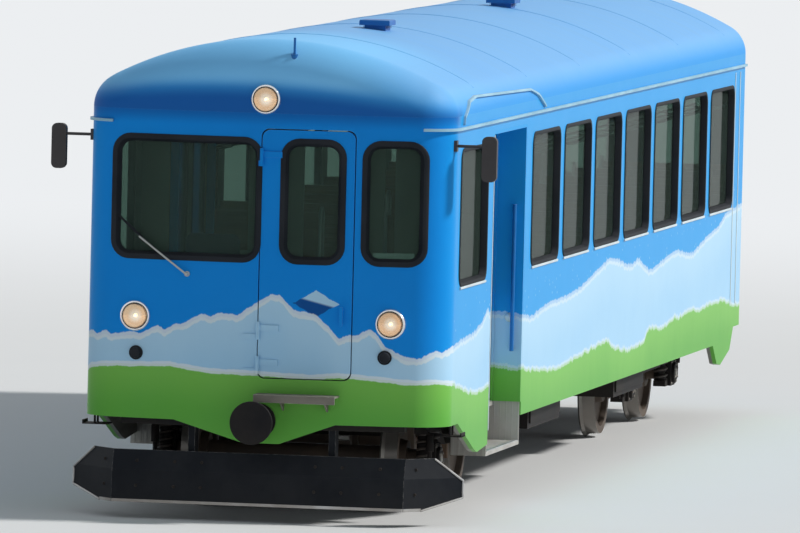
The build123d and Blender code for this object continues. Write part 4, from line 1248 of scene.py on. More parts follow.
# The gutters carry the body blue; this paler colour is painted sunlight.
SUNLIT_GUTTER = Finish("rain_gutter_sunlit", (0.34, 0.58, 0.72), (0.24, 0.46, 0.60), dust=0.12, wear=0.3)
# sides=0.74 paints the side panes darker: painted shade.
GLASS = TintedGlass(
    "window_glass", (0.30, 0.42, 0.37), transmission=0.92, specular=0.2, ior=1.045, sides=0.74,
)
RUBBER = Finish(
    "glazing_rubber", (0.006, 0.009, 0.014), (0.016, 0.019, 0.025), (0.5, 0.75), relief=0.12, dust=0.06,
    specular=0.2,
)
BLACK = Finish(
    "chassis_black", (0.010, 0.010, 0.012), (0.024, 0.021, 0.020), (0.5, 0.75), relief=0.25, grain=90.0,
    dust=0.10, dust_top=0.8, wear=0.5, worn=(0.12, 0.10, 0.09), specular=0.12,
)
PLOUGH = Finish(
    "plough_black", (0.007, 0.009, 0.013), (0.016, 0.018, 0.022), (0.4, 0.65), relief=0.2, grain=60.0,
    dust=0.04, dust_top=0.4, wear=0.9, worn=(0.34, 0.33, 0.32), specular=0.10,
)
BARE_EDGE = Finish(
    "bare_steel_edge", (0.50, 0.50, 0.50), (0.28, 0.26, 0.24), (0.35, 0.6), metallic=0.6, relief=0.3,
    dust=0.12,
)
IRON = Finish("brake_iron", (0.12, 0.065, 0.038), (0.055, 0.040, 0.032), (0.7, 0.9), relief=0.4, grain=70.0)
WHEEL = WheelSteel(
    "wheel_steel", (0.050, 0.036, 0.029), (0.085, 0.058, 0.040), (0.55, 0.8), relief=0.2, grain=80.0,
    dust=0.2,
)
PINION = WheelSteel(
    "pinion_steel", (0.035, 0.030, 0.026), (0.070, 0.055, 0.042), (0.45, 0.7), relief=0.2, grain=80.0,
    dust=0.1, bright_from=0.305, bright=(0.45, 0.44, 0.42),
)
SPRING = Finish("spring_steel", (0.030, 0.030, 0.034), (0.075, 0.060, 0.050), (0.4, 0.65), relief=0.15)
BOLTS = Finish("zinc_fixings", (0.30, 0.29, 0.27), (0.12, 0.10, 0.09), metallic=0.7, relief=0.15)
PANELLING = Finish("saloon_panelling", (0.42, 0.39, 0.33), (0.35, 0.33, 0.29), dust=0.0)
STEPS = TreadPlate(
    "step_plate", (0.50, 0.49, 0.46), (0.38, 0.37, 0.35), (0.4, 0.65), metallic=0.25, relief=0.7, wear=0.6,
    worn=(0.55, 0.54, 0.52),
)
FLOORING = SpeckledFloor("floor_covering", (0.085, 0.090, 0.095), (0.12, 0.12, 0.12), (0.45, 0.65), dust=0.0)
ENAMEL = Finish(
    "lamp_enamel", (0.80, 0.78, 0.72), (0.66, 0.64, 0.60), (0.2, 0.35), relief=0.03, dust=0.08, wear=0.3,
    worn=(0.35, 0.33, 0.30), coat=0.5,
)
RIM = Finish(
    "lamp_rim", (0.88, 0.88, 0.87), (0.78, 0.78, 0.77), (0.10, 0.22), metallic=0.85, relief=0.03, dust=0.05,
)
REFLECTOR = LampBowl(
    "lamp_reflector", (0.92, 0.74, 0.55), (0.85, 0.60, 0.40), (0.08, 0.18), metallic=1.0, relief=0.05,
    dust=0.0,
)
LENS = TintedGlass("lamp_lens", (1.0, 0.95, 0.88), (0.02, 0.06), ripple=0.02)
BULB = TintedGlass("lamp_bulb", (1.0, 0.88, 0.70), (0.1, 0.2), transmission=0.3, glow=1.0)
RED_LENS = TintedGlass("tail_lens", (0.55, 0.012, 0.010), (0.05, 0.12), transmission=0.35, ripple=0.02)
CASE = Finish(
    "mirror_case", (0.014, 0.012, 0.014), (0.028, 0.024, 0.026), (0.35, 0.55), relief=0.15, grain=300.0,
    dust=0.08,
)
MIRROR = TintedGlass("mirror_glass", (0.72, 0.75, 0.78), (0.01, 0.03), transmission=0.0, metallic=1.0)
TRIM_WHITE = Finish(
    "pale_trim", (0.66, 0.76, 0.80), (0.55, 0.64, 0.68), (0.35, 0.5), relief=0.05, dust=0.1, wear=0.3,
    worn=(0.40, 0.38, 0.35),
)
HANDRAIL = Finish(
    "handrail_blue", (0.012, 0.20, 0.56), (0.010, 0.15, 0.46), (0.3, 0.45), relief=0.05, dust=0.1, wear=0.6,
    worn=(0.40, 0.42, 0.44), specular=0.3,
)
ALUMINIUM = Finish(
    "brushed_aluminium", (0.62, 0.63, 0.64), (0.50, 0.51, 0.52), (0.3, 0.45), metallic=0.9, relief=0.1,
    dust=0.05,
)
WOOD = SlatWood(
    "bench_wood", (0.36, 0.19, 0.085), (0.24, 0.115, 0.048), (0.35, 0.5), relief=0.1, dust=0.0, coat=0.3,
)
BENCH_STEEL = Finish(
    "bench_frame_enamel", (0.14, 0.15, 0.16), (0.10, 0.11, 0.12), (0.4, 0.55), dust=0.0, wear=0.3,
)
DESK = Finish(
    "desk_laminate", (0.10, 0.115, 0.13), (0.075, 0.085, 0.10), (0.5, 0.7), relief=0.2, grain=320.0,
    dust=0.03,
)
CLOTH = WovenCloth(
    "seat_cloth", (0.030, 0.055, 0.12), (0.060, 0.085, 0.16), (0.8, 0.95), relief=0.5, dust=0.0,
)
WIPER_ARM = Finish("wiper_arm", (0.50, 0.52, 0.50), (0.38, 0.40, 0.39), (0.35, 0.5), metallic=0.5, dust=0.08)
BOARD = Finish(
    "footboard_paint", (0.20, 0.185, 0.155), (0.13, 0.12, 0.10), (0.5, 0.7), relief=0.3, wear=0.8,
    worn=(0.55, 0.53, 0.50),
)

SLOT_FINISHES: dict[str, AnyFinish] = {
    "body_paint": BODY, "glass": GLASS, "lining": PANELLING, "steps": STEPS, "floor": FLOORING,
    "black_paint": BLACK, "cast_iron": IRON, "wheel_steel": WHEEL, "pinion_steel": PINION, "lamp": ENAMEL,
    "mirror_case": CASE, "rail_steel": HANDRAIL, "bench": WOOD, "desk": DESK, "seat": CLOTH,
}
NODE_FINISHES: dict[str, AnyFinish] = {
    "roof": ROOF, "gutters": SUNLIT_GUTTER, "entrance_lining": LINING, "snow_plough": PLOUGH, "footboard": BOARD,
    "roof_fittings": FITTING_BLUE, "door_leaf_front_right": LEAF, "door_leaf_rear_right": LEAF,
    "door_leaf_front_left": LEAF, "door_leaf_rear_left": LEAF,
}


def dress_nodes() -> None:
    """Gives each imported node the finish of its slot, or its own where it has one."""
    for name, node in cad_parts.items():
        for place, material in enumerate(node.data.materials):
            finish = NODE_FINISHES.get(name) or SLOT_FINISHES[material.name.split(".")[0]]
            node.data.materials[place] = finish.material()
    LOG.info("dressed %d packed nodes", len(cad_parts))


def settle(piece: bpy.types.Object, finish: AnyFinish, body: Body) -> bpy.types.Object:
    """Finishes a piece: its material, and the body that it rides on.

    Args:
        piece: the new object.
        finish: what it is dressed in.
        body: the body that carries it.

    Returns:
        The piece.
    """
    piece.data.materials.clear()
    piece.data.materials.append(finish.material())
    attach(piece, body.value)
    LOG.info("piece %s on %s", piece.name, body.value)
    return piece


# Sub-assemblies


@dataclass
class Glazing:
    """Rubber glazing strips round every window."""

    first: float = FRONT + 3.577
    pitch: float = 1.4
    count: int = 7
    width: float = 1.17
    corner: float = 0.08
    cab: Span = (FRONT + 0.56, FRONT + 1.65)
    end_corner: float = 0.105
    front: tuple[Span, ...] = ((-1.115, -0.048), (0.745, 1.160))
    front_door: Span = (0.150, 0.568)
    rear: tuple[Span, ...] = ((-1.09, -0.48), (0.48, 1.09))
    rear_door: Span = (-0.21, 0.21)
    depth: float = 0.044
    door_depth: float = 0.026
    leaf_plane: float = 1.112
    leaf_thick: float = 0.03
    leaf_sill: float = 1.5278
    leaf_head: float = 2.6482

    def build(self) -> None:
        """Makes the strips of the body, the end doors and the folding leaves."""
        self.build_sides()
        self.build_ends()
        self.build_leaves()

    def build_sides(self) -> None:
        """Strips of the cab and saloon side windows, with a pale sill below each."""
        starts = self.first + self.pitch * np.arange(self.count)
        profile = gasket_profile(self.depth, lip_out=0.022)
        for name, wall in (("right", RIGHT_SIDE), ("left", LEFT_SIDE)):
            strip, sill = Shape(), Shape()
            inner, outer = wall.across * (HALF - 0.004), wall.across * (HALF + 0.012)
            for low, high in (self.cab, *zip(starts, starts + self.width)):
                strip.gasket(wall, (low, WINDOW_SILL), (high, WINDOW_HEAD), self.corner, profile)
                sill.slab((inner, low + 0.02, WINDOW_SILL - 0.038), (outer, high - 0.02, WINDOW_SILL - 0.019))
            strip.piece(f"side_glazing_{name}", RUBBER)
            sill.piece(f"window_sills_{name}", TRIM_WHITE)

    def build_ends(self) -> None:
        """Strips of the fixed windows and the door panes in both ends."""
        for name, wall, body, depth, spans in (
            ("front", FRONT_END, Body.CAR, self.depth, self.front),
            ("rear", REAR_END, Body.CAR, self.depth, self.rear),
            ("front_door", FRONT_END, Body.FRONT_DOOR, self.door_depth, (self.front_door,)),
            ("rear_door", REAR_END, Body.REAR_DOOR, self.door_depth, (self.rear_door,)),
        ):
            shape, profile = Shape(), gasket_profile(depth, lip_out=0.032, lip_in=0.026)
            for low, high in spans:
                shape.gasket(wall, (low, END_SILL), (high, END_HEAD), self.end_corner, profile)
            shape.piece(f"{name}_glazing", RUBBER, body)

    def build_leaves(self) -> None:
        """Strips of the leaf panes and the finger seals on the leaves' meeting edges."""
        profile = gasket_profile(0.011, lip_out=0.016, lip_in=0.014)
        inner = profile * [1.0, -1.0] - [0.0, self.leaf_thick]
        for leaf, window, seal in (
            ("front", (-4.822, -4.397), (-4.287, -4.2822)),
            ("rear", (-4.171, -3.746), (-3.636, -3.6322)),
        ):
            for side, across in (("right", 1), ("left", -1)):
                shape, outside = Shape(), Wall(across=across, plane=self.leaf_plane)
                low, high = zip(window, (self.leaf_sill, self.leaf_head))
                for section in (profile, inner):
                    shape.gasket(outside, low, high, self.corner, section)
                near, far = self.leaf_plane - 0.008, self.leaf_plane - self.leaf_thick + 0.004
                shape.slab((across * near, seal[0], 0.765), (across * far, seal[1], 2.755), soft=0.002)
                shape.piece(f"leaf_glazing_{leaf}_{side}", RUBBER, Body(f"{leaf}_leaf_{side}"))


@dataclass
class Wiper:
    """Windscreen wiper of the driver's window: spindle, sprung arm and blade."""

    pivot: Span = (-0.56, 1.79)
    tip: Span = (-0.93, 2.05)
    blade: float = 0.52
    lift: float = 0.030

    def path(self, start: Point, end: Point, steps: int) -> np.ndarray:
        """Even steps along the front between two ends given as x, z and lift off the face."""
        return FRONT_END.place(*np.linspace(start, end, steps).T)

    def build(self) -> None:
        """Makes the arm and the blade."""
        arm, blade = Shape(), Shape()
        spindle = [(0.020, -0.01), (0.020, 0.012), (0.014, 0.016), (0.014, 0.034), (0.010, 0.040)]
        arm.lathe(spindle, FRONT_END.place(*self.pivot, 0.0), (0, -1, 0), 20)
        arm.tube(self.path((*self.pivot, self.lift), (*self.tip, 0.004), 9), 0.0075, 8)
        arm.piece("wiper_arm", WIPER_ARM)
        reach = np.subtract(self.tip, self.pivot)
        along = reach / np.linalg.norm(reach) * [0.85, 1.2] - [0.12, 0.0]
        along *= self.blade / 2 / np.linalg.norm(along)
        for lift, radius in ((-0.028, 0.009), (-0.014, 0.005)):
            start, end = ((*(self.tip + sign * along), lift) for sign in SIDES)
            blade.tube(self.path(start, end, 13), radius, 8)
        blade.piece("wiper_blade", RUBBER)


@dataclass
class Lamps:
    """Headlamps, roof lamp and tail lamps with rims, reflectors, lenses and bulbs."""

    radius: float = 0.112
    proud: float = 0.038
    roof_radius: float = 0.110
    roof_face: float = FRONT - 0.030
    tail_radius: float = 0.080

    def lamp(self, shapes: dict[str, Shape], centre: Point, radius: float, depth: float, back: float) -> None:
        """Adds one lamp that looks forwards.

        The housing's section runs from the back round the rim and down the bowl's lip; the
        bowl is a parabola, and the lens a shallow dome.

        Args:
            shapes: the housing, reflector, lens and bulb shapes.
            centre: middle of the rim's front.
            radius: outer radius of the rim.
            depth: depth of the bowl behind the rim.
            back: how far the housing reaches back.
        """
        rim, foot = radius - 0.018, 0.0005 - depth
        r, turn = np.linspace(0.012, rim - 0.0005, 9), np.linspace(0.05, 1.5, 7)
        bowl = zip(r, (depth - 0.006) * (r / rim) ** 2 - depth + 0.0008)
        dome = zip(rim * np.cos(turn), 0.009 * np.sin(turn) - 0.004)
        profiles = {
            "housing": [
                (radius - 0.004, -back), (radius, -0.014), (radius - 0.002, -0.006), (radius - 0.008, 0.0),
                (rim + 0.003, 0.0), (rim, -0.004), (rim, -depth), (0.02, -depth - 0.0005),
            ],
            "reflector": [(0.012, foot), *bowl, (rim - 0.0005, foot)],
            "lens": [(rim - 0.001, -0.007), *dome],
            "bulb": [
                (0.011, 0.001 - depth), (0.012, -0.5 * depth), (0.008, -0.35 * depth), (0.002, -0.32 * depth),
            ],
        }
        for name, profile in profiles.items():
            shapes[name].lathe(profile, centre, (0.0, -1.0, 0.0), 16 if name == "bulb" else 48)

    def build(self) -> None:
        """Makes all five lamps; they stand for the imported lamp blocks."""
        shapes = {name: Shape() for name in ("housing", "reflector", "lens", "bulb")}
        face = float(nose(LAMP_ACROSS)[0]) - self.proud
        for side in SIDES:
            self.lamp(shapes, (side * LAMP_ACROSS, face, LAMP_HEIGHT), self.radius, 0.030, 0.060)
        self.lamp(shapes, (0.0, self.roof_face, ROOF_LAMP_HEIGHT), self.roof_radius, 0.026, 0.180)
        red, r, turn = Shape(), self.tail_radius, np.linspace(0.1, 1.5, 7)
        ring = [
            (r - 0.003, -0.029), (r, -0.012), (r - 0.002, -0.004), (r - 0.008, 0.0), (r - 0.014, 0.0),
            (r - 0.016, -0.006), (0.02, -0.007),
        ]
        dome = [(r - 0.016, -0.006), *zip((r - 0.017) * np.cos(turn), 0.012 * np.sin(turn) - 0.006)]
        for side in SIDES:
            centre = (side * LAMP_ACROSS, REAR + 0.030, LAMP_HEIGHT)
            shapes["housing"].lathe(ring, centre, (0, 1, 0))
            red.lathe(dome, centre, (0, 1, 0))
        housing = shapes["housing"].piece("lamp_housings", RIM, slot="lamp")
        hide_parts("lamps")
        for name, finish in (("reflector", REFLECTOR), ("lens", LENS), ("bulb", BULB)):
            shapes[name].piece(f"lamp_{name}s", finish)
        red.piece("tail_lamp_lenses", RED_LENS)


@dataclass
class FrontFittings:
    """Jumper sockets, corner step irons and the snow plough's edging and bolts."""

    sockets: tuple[Span, ...] = ((-0.935, 1.203), (0.905, 1.228))
    half: float = 1.45
    straight: float = 1.08
    sweep: float = 0.40
    cut: Span = (0.19, 0.16)
    rise: Span = (0.26, 0.09)
    low: float = 0.118
    fold: float = 0.3536
    high: float = 0.498
    strip: float = 0.008

    def blade(self, x: np.ndarray, z: np.ndarray) -> np.ndarray:
        """Front face of the plough.

        The face leans back in two flat steps above and below the fold, and behind each end of
        the straight blade it is swept back evenly.

        Args:
            x: positions across the car.
            z: heights.

        Returns:
            The face's y at each position.
        """
        lean = np.interp(z, (self.low, self.fold, self.high), (0.0, 0.014, 0.070))
        return FRONT - 0.010 + lean + np.interp(np.abs(x), (self.straight, self.half), (0.0, self.sweep))

    def build(self) -> None:
        """Makes the fittings."""
        self.build_sockets()
        self.build_edging()
        self.build_irons()

    def build_sockets(self) -> None:
        """Round jumper sockets that stand square to the bowed front."""
        shape = Shape()
        section = [
            (0.052, -0.004), (0.052, 0.008), (0.048, 0.012), (0.040, 0.012), (0.036, 0.034), (0.030, 0.038),
            (0.004, 0.039),
        ]
        for x, z in self.sockets:
            shape.lathe(section, FRONT_END.place(x, z, 0.0), (*nose(x)[1:], 0.0), 28)
        shape.piece("jumper_sockets", RUBBER)

    def build_edging(self) -> None:
        """Wear strips of the plough: along its foot and up its swept ends, with its bolts."""
        shape, bolts = Shape(), Shape()
        foot = self.half - self.rise[0]
        x = np.linspace(-foot, foot, 81)
        low, high = self.low + 0.001, self.low + 0.022
        section = ((low, 0.0), (low, 0.006), (high, 0.006), (high, 0.0))
        shape.bar([line(x, self.blade(x, z) - out, z) for z, out in section])
        tip, top = self.half - 0.004, self.high - 0.004
        across = (foot, tip, tip, self.half - self.cut[0])
        up = (self.low + 0.004, self.low + self.rise[1], top - self.cut[1], top)
        edge, z = (np.interp(np.linspace(0.0, 3.0, 25), range(4), bend) for bend in (across, up))
        for side in SIDES:
            shape.tube(line(side * edge, self.blade(edge, z) - 0.002, z), self.strip, 8)
        shape.piece("plough_edging", BARE_EDGE)
        x = np.array([-1.15, -0.9, -0.62, -0.42, 0.42, 0.62, 0.9, 1.15])
        for z in (0.24, 0.42):
            bolts.copies(*bolt(0.013, 0.010, 1, -1), line(x, self.blade(x, z) + 0.002, z))
        bolts.piece("plough_bolts", BLACK)

    def build_irons(self) -> None:
        """Shunter's step below each front corner: a plate on two straps, with a bent-up lip."""
        shape, y = Shape(), FRONT + 0.48
        for side in SIDES:
            shape.slab((side * 1.22, y, 0.640), (side * 1.41, y + 0.16, 0.650))
            shape.slab((side * 1.400, y, 0.640), (side * 1.410, y + 0.16, 0.672), 0.003)
            for near in (y + 0.012, y + 0.118):
                shape.slab((side * 1.315, near, 0.642), (side * 1.327, near + 0.03, 0.740), 0.003)
        shape.piece("corner_step_irons", BLACK, slot="black_paint")


@dataclass
class Mirrors:
    """Glass of the rear-view mirrors, set in the cases' rear faces."""

    across: float = 1.595
    height: float = 2.65 + RAIL
    face: float = FRONT + 0.36
    half_width: float = 0.043
    half_height: float = 0.150

    def build(self) -> None:
        """Each glass is a rounded plate whose face swells a little in the middle."""
        shape, size = Shape(), np.array([self.half_width, self.half_height])
        swell = np.array([(1.0, -0.002), (1.0, 0.0015), (0.85, 0.003), (0.5, 0.0042), (0.05, 0.0046)])
        for side in SIDES:
            middle = np.array([side * self.across, self.height])
            loop = rounded_loop(middle - size, middle + size, 0.03, 6)[0]
            flat = middle + (loop - middle) * swell[:, 0, None, None]
            shape.grid(line(flat[..., 0], self.face + swell[:, 1, None], flat[..., 1]), caps=True)
        shape.piece("mirror_glasses", MIRROR)


@dataclass
class RoofDetails:
    """Panel joints across the roof and the ventilators' louvres."""

    joints: tuple[float, ...] = (-5.55, -3.30, -0.95, 1.40, 3.75, 6.10)
    vents: tuple[Span, ...] = ((0.245, FRONT + 3.0), (0.235, FRONT + 8.42))

    def build(self) -> None:
        """Makes the joint beads and the louvres."""
        beads, louvres = Shape(), Shape()
        across = np.linspace(-1.28, 1.28, 49)
        section = ((-0.011, -0.003), (-0.006, 0.0035), (0.006, 0.0035), (0.011, -0.003))
        for y in self.joints:
            beads.bar([line(across, y + dy, roof_height(across) + out) for dy, out in section])
        beads.piece("roof_joints", ROOF, slot="body_paint")
        for x, y in self.vents:
            for side in SIDES:
                for z in (3.506, 3.517):
                    near, far = x + side * 0.078, x + side * 0.094
                    louvres.slab((near, y - 0.085, z), (far, y + 0.085, z + 0.004), 0.001)
        louvres.piece("vent_louvres", FITTING_BLUE, slot="body_paint")


@dataclass
class SideTrim:
    """Upright cover strips at the rear corners and a pale strip at the entrances, which is a painted
    highlight of the sunlit edge; step nosings and push buttons.
    """

    strips: Span = (FRONT + 13.215, FRONT + 13.46)
    recess: Span = (FRONT + 1.93, FRONT + 3.27)

    def build(self) -> None:
        """Makes the strips, the nosings and the buttons."""
        strip, nosing, button = Shape(), Shape(), Shape()
        near, far = self.recess
        section = [
            (0.034, -0.002), (0.034, 0.006), (0.028, 0.010), (0.020, 0.010), (0.018, 0.016), (0.002, 0.018),
        ]
        for side in SIDES:
            for y in self.strips:
                strip.slab((side * 1.346, y - 0.010, 0.92), (side * 1.355, y + 0.010, 2.84), 0.003)
            # Pale strip at the entrance's leading edge: a painted highlight where the sun catches the edge.
            strip.slab((side * 1.344, near - 0.025, 0.60), (side * 1.354, near - 0.007, 2.78), 0.003)
            for x, z in ((1.332, 0.438), (1.136, 0.728)):
                inner, outer = side * (x - 0.030), side * (x + 0.006)
                nosing.slab((inner, near + 0.02, z - 0.002), (outer, far - 0.02, z + 0.005), 0.002)
            button.lathe(section, (side * 1.25, far, 1.36), (0, -1, 0), 24)
        strip.piece("cover_strips_and_lit_edge", TRIM_WHITE, slot="rail_steel")
        nosing.piece("step_nosings", ALUMINIUM, slot="steps")
        button.piece("door_push_buttons", ALUMINIUM)


@dataclass
class BogieDetails:
    """Coil springs, dampers, cover bolts and brake rods of one bogie.

    Args:
        name: front or rear.
        middle: the bogie's middle along Y.
        body: the body that carries it.
    """

    name: str
    middle: float
    body: Body
    spring_x: float = 0.97
    spring_spread: float = 0.165
    spring_low: float = 0.349
    spring_high: float = 0.600
    coil_radius: float = 0.050
    wire: float = 0.0085
    turns: int = 5
    box_face: float = 1.070
    bolt_circle: float = 0.066
    damper: Span = (1.030, 0.255)
    damper_low: float = 0.335
    rod_x: float = 0.80
    rod_half: float = 0.58
    rod_height: float = 0.52

    def build(self) -> None:
        """Makes the pieces of the bogie."""
        self.build_springs()
        self.build_bolts()
        self.build_dampers()

    def boxes(self) -> list[tuple[int, int, float]]:
        """Side, end and Y of each axle box."""
        return [(side, end, self.middle + end * HALF_WHEELBASE) for side in SIDES for end in SIDES]

    def build_springs(self) -> None:
        """Helices with flattened ends, round the springs' rubber cores."""
        shape = Shape()
        turn = np.linspace(0.0, 2 * math.pi * self.turns, 22 * self.turns + 1)
        rise = np.clip((turn / turn[-1] - 0.06) / 0.88, 0.0, 1.0)
        x, y = self.coil_radius * np.cos(turn), self.coil_radius * np.sin(turn)
        z = self.spring_low + self.wire + (self.spring_high - self.spring_low - 2 * self.wire) * rise
        for side, _, middle in self.boxes():
            for end in SIDES:
                along = middle + end * self.spring_spread + y
                shape.tube(line(side * self.spring_x + x, along, z), self.wire, 7)
        shape.piece(f"coil_springs_{self.name}", SPRING, self.body)

    def build_bolts(self) -> None:
        """Six bolts round each axle box cover and two on each spring seat."""
        shape, turn = Shape(), circle(6) + math.pi / 6
        rim = [(0.040, -0.002), (0.040, 0.004), (0.034, 0.008), (0.004, 0.009)]
        across, up = self.bolt_circle * np.cos(turn), AXLE_HEIGHT + self.bolt_circle * np.sin(turn)
        seats = np.array([(dy, AXLE_HEIGHT + dz) for dy in (-0.082, 0.082) for dz in (-0.085, 0.09)])
        for side, _, y in self.boxes():
            head = bolt(0.011, 0.009, 0, side)
            shape.copies(*head, line(side * self.box_face, y + across, up))
            shape.lathe(rim, (side * self.box_face, y, AXLE_HEIGHT), (side, 0, 0), 24)
            shape.copies(*head, line(side * (self.box_face - 0.025), y + seats[:, 0], seats[:, 1]))
        shape.piece(f"axle_box_bolts_{self.name}", BOLTS, self.body)

    def build_dampers(self) -> None:
        """Upright dampers from the frame down to the axle boxes, and the brake pull rods."""
        shape = Shape()
        section = [(0.016, 0.0), (0.016, 0.12), (0.030, 0.122), (0.030, 0.24), (0.024, 0.25), (0.010, 0.252)]
        low, thick = self.damper_low, 0.025
        for side, end, middle in self.boxes():
            x, y = side * self.damper[0], middle + end * self.damper[1]
            shape.lathe(section, (x, y, low + 0.015), (0, 0, 1), 16)
            for z in (low, low + 0.26):
                shape.slab((x, y - 0.02, z), (x - side * 0.05, y + 0.02, z + thick))
            shape.slab((x - side * 0.02, y - 0.06, low), (x - side * 0.06, y - end * 0.02, low + thick))
        for side in SIDES:
            rod = self.middle + self.rod_half * np.array(SIDES)
            shape.tube(line(side * self.rod_x, rod, self.rod_height), 0.014)
        shape.piece(f"dampers_and_rods_{self.name}", BLACK, self.body, "black_paint")


@dataclass
class Underfloor:
    """Pipe runs, box latches and tank straps below the floor."""

    pipes: tuple[tuple[float, float, float], ...] = (
        (-0.38, 0.845, 0.021), (0.38, 0.845, 0.021), (0.335, 0.852, 0.014),
    )
    boxes: tuple[tuple[int, float, float], ...] = ((1, 4.25, 5.65), (-1, 4.25, 5.65), (1, 8.15, 9.55))
    box_face: float = 1.255
    tanks: Span = (-1.060, -0.760)
    tank_height: float = 0.668
    tank_radius: float = 0.130
    straps: Span = (FRONT + 8.45, FRONT + 9.25)

    def build(self) -> None:
        """Makes the pieces below the floor."""
        self.build_pipes()
        self.build_latches()
        self.build_straps()

    def build_pipes(self) -> None:
        """Straight runs of pipe along the centre sill."""
        shape = Shape()
        run = np.array([FRONT + 0.9, FRONT + 5.0, REAR - 5.0, REAR - 0.9])
        for x, z, radius in self.pipes:
            shape.tube(line(x, run, z), radius)
        shape.piece("air_pipes", BLACK, slot="black_paint")

    def build_latches(self) -> None:
        """Three latches and a bowed handle on each equipment box."""
        shape, turn = Shape(), np.linspace(0.0, math.pi, 9)
        bow = self.box_face + 0.022 * np.sin(turn)
        for side, near, far in self.boxes:
            inner, outer = side * self.box_face, side * (self.box_face + 0.013)
            for share in (0.2, 0.5, 0.8):
                y = FRONT + near + (far - near) * share
                shape.slab((inner, y - 0.03, 0.60), (outer, y + 0.03, 0.68))
            handle = FRONT + (near + far) / 2 + 0.09 * np.cos(turn)
            shape.tube(line(side * bow, handle, 0.79), 0.006, 8)
        shape.piece("box_latches", BOLTS)

    def build_straps(self) -> None:
        """Two flat hoops round each air tank."""
        shape, turn = Shape(), circle(32)
        inner, outer = self.tank_radius, self.tank_radius + 0.004
        section = ((-0.02, inner), (-0.02, outer), (0.02, outer), (0.02, inner))
        hoops = [line(r * np.cos(turn), dy, self.tank_height + r * np.sin(turn)) for dy, r in section]
        for x in self.tanks:
            for y in self.straps:
                shape.grid(np.stack(hoops) + [x, y, 0.0], wrap=(True, True))
        shape.piece("tank_straps", BOLTS)


@dataclass
class Saloon:
    """Bench slats and rails, luggage racks and ceiling lights."""

    first: float = FRONT + 3.577
    pitch: float = 1.4
    count: int = 7
    pillar: float = 0.115
    drawn_in: float = 0.065
    seat_x: Span = (0.265, 1.280)
    rail_x: float = 0.245
    rack: Span = (FRONT + 3.70, REAR - 0.35)
    rack_bars: tuple[Span, ...] = ((0.98, 2.560), (1.06, 2.545), (1.14, 2.540), (1.22, 2.550))
    light_x: float = 0.45
    light_length: float = 1.9
    light_pitch: float = 2.4

    def pillars(self) -> np.ndarray:
        """Y of each window pillar."""
        return self.first - self.pillar + self.pitch * np.arange(self.count + 1)

    def backs(self) -> np.ndarray:
        """Y of each bench back: at the pillars, and drawn in at both ends of the saloon."""
        return self.pillars() + [self.drawn_in, *[0.0] * (self.count - 1), -self.drawn_in]

    def build(self) -> None:
        """Makes the saloon's pieces."""
        self.build_slats()
        self.build_rails()
        self.build_racks()

    def build_slats(self) -> None:
        """Slats laid on each bench's seat and back.

        A rounded section is carried across the car, in even steps along the seat's and the
        back's slope. The first and the last back have a seat on one side only.
        """
        shape, ends = Shape(), np.array(self.seat_x)[:, None]
        slopes = (
            ((0.130, 0.4455), (0.480, 0.4630), 6, (0.025, 0.006)),
            ((0.104, 0.500), (0.048, 0.990), 8, (0.006, 0.024)),
        )
        benches = [(y, s) for y in self.backs() for s in SIDES][1:-1]
        for back, way in benches:
            for start, end, count, half in slopes:
                loop = rounded_loop(np.negative(half), half, 0.005, 2)[0]
                for dy, dz in np.linspace(start, end, count):
                    y, z = back + way * dy + loop[:, 0], FLOOR + dz + loop[:, 1]
                    for side in SIDES:
                        shape.grid(line(side * ends, y, z), caps=True)
        shape.piece("bench_slats", WOOD, slot="bench")

    def build_rails(self) -> None:
        """Grab rails at the aisle end of each pair of benches."""
        shape, turn = Shape(), np.linspace(0.0, math.pi, 9)
        for y in self.backs():
            for side in SIDES:
                x = side * self.rail_x
                arch = line(x, y + 0.06 * np.cos(turn), FLOOR + 1.03 + 0.06 * np.sin(turn))
                feet = line(x, y + np.array([0.06, -0.06]), FLOOR + 0.35)
                shape.tube(np.concatenate([feet[:1], arch, feet[1:]]), 0.012, 8)
        shape.piece("bench_grab_rails", ALUMINIUM, slot="rail_steel")

    def build_racks(self) -> None:
        """Luggage racks of round bars on brackets, and the ceiling's light strips."""
        rack, lights = Shape(), Shape()
        low, high = self.rack
        arm = np.array([(0.975, 2.575), (0.99, 2.548), (1.08, 2.532), (1.20, 2.535), (1.289, 2.60)])
        for side in SIDES:
            for x, z in self.rack_bars:
                rack.tube(line(side * x, np.array([low, 0.0, high]), z), 0.010, 8)
            for y in np.clip(self.pillars(), low + 0.02, high - 0.02):
                rack.tube(line(side * arm[:, 0], y, arm[:, 1]), 0.009, 8)
            for y in FRONT + 3.9 + self.light_pitch * np.arange(4):
                x = side * self.light_x
                lights.slab((x - 0.06, y, 3.335), (x + 0.06, y + self.light_length, 3.375), 0.016)
        rack.piece("luggage_racks", ALUMINIUM, slot="rail_steel")
        lights.piece("ceiling_light_strips", ENAMEL)


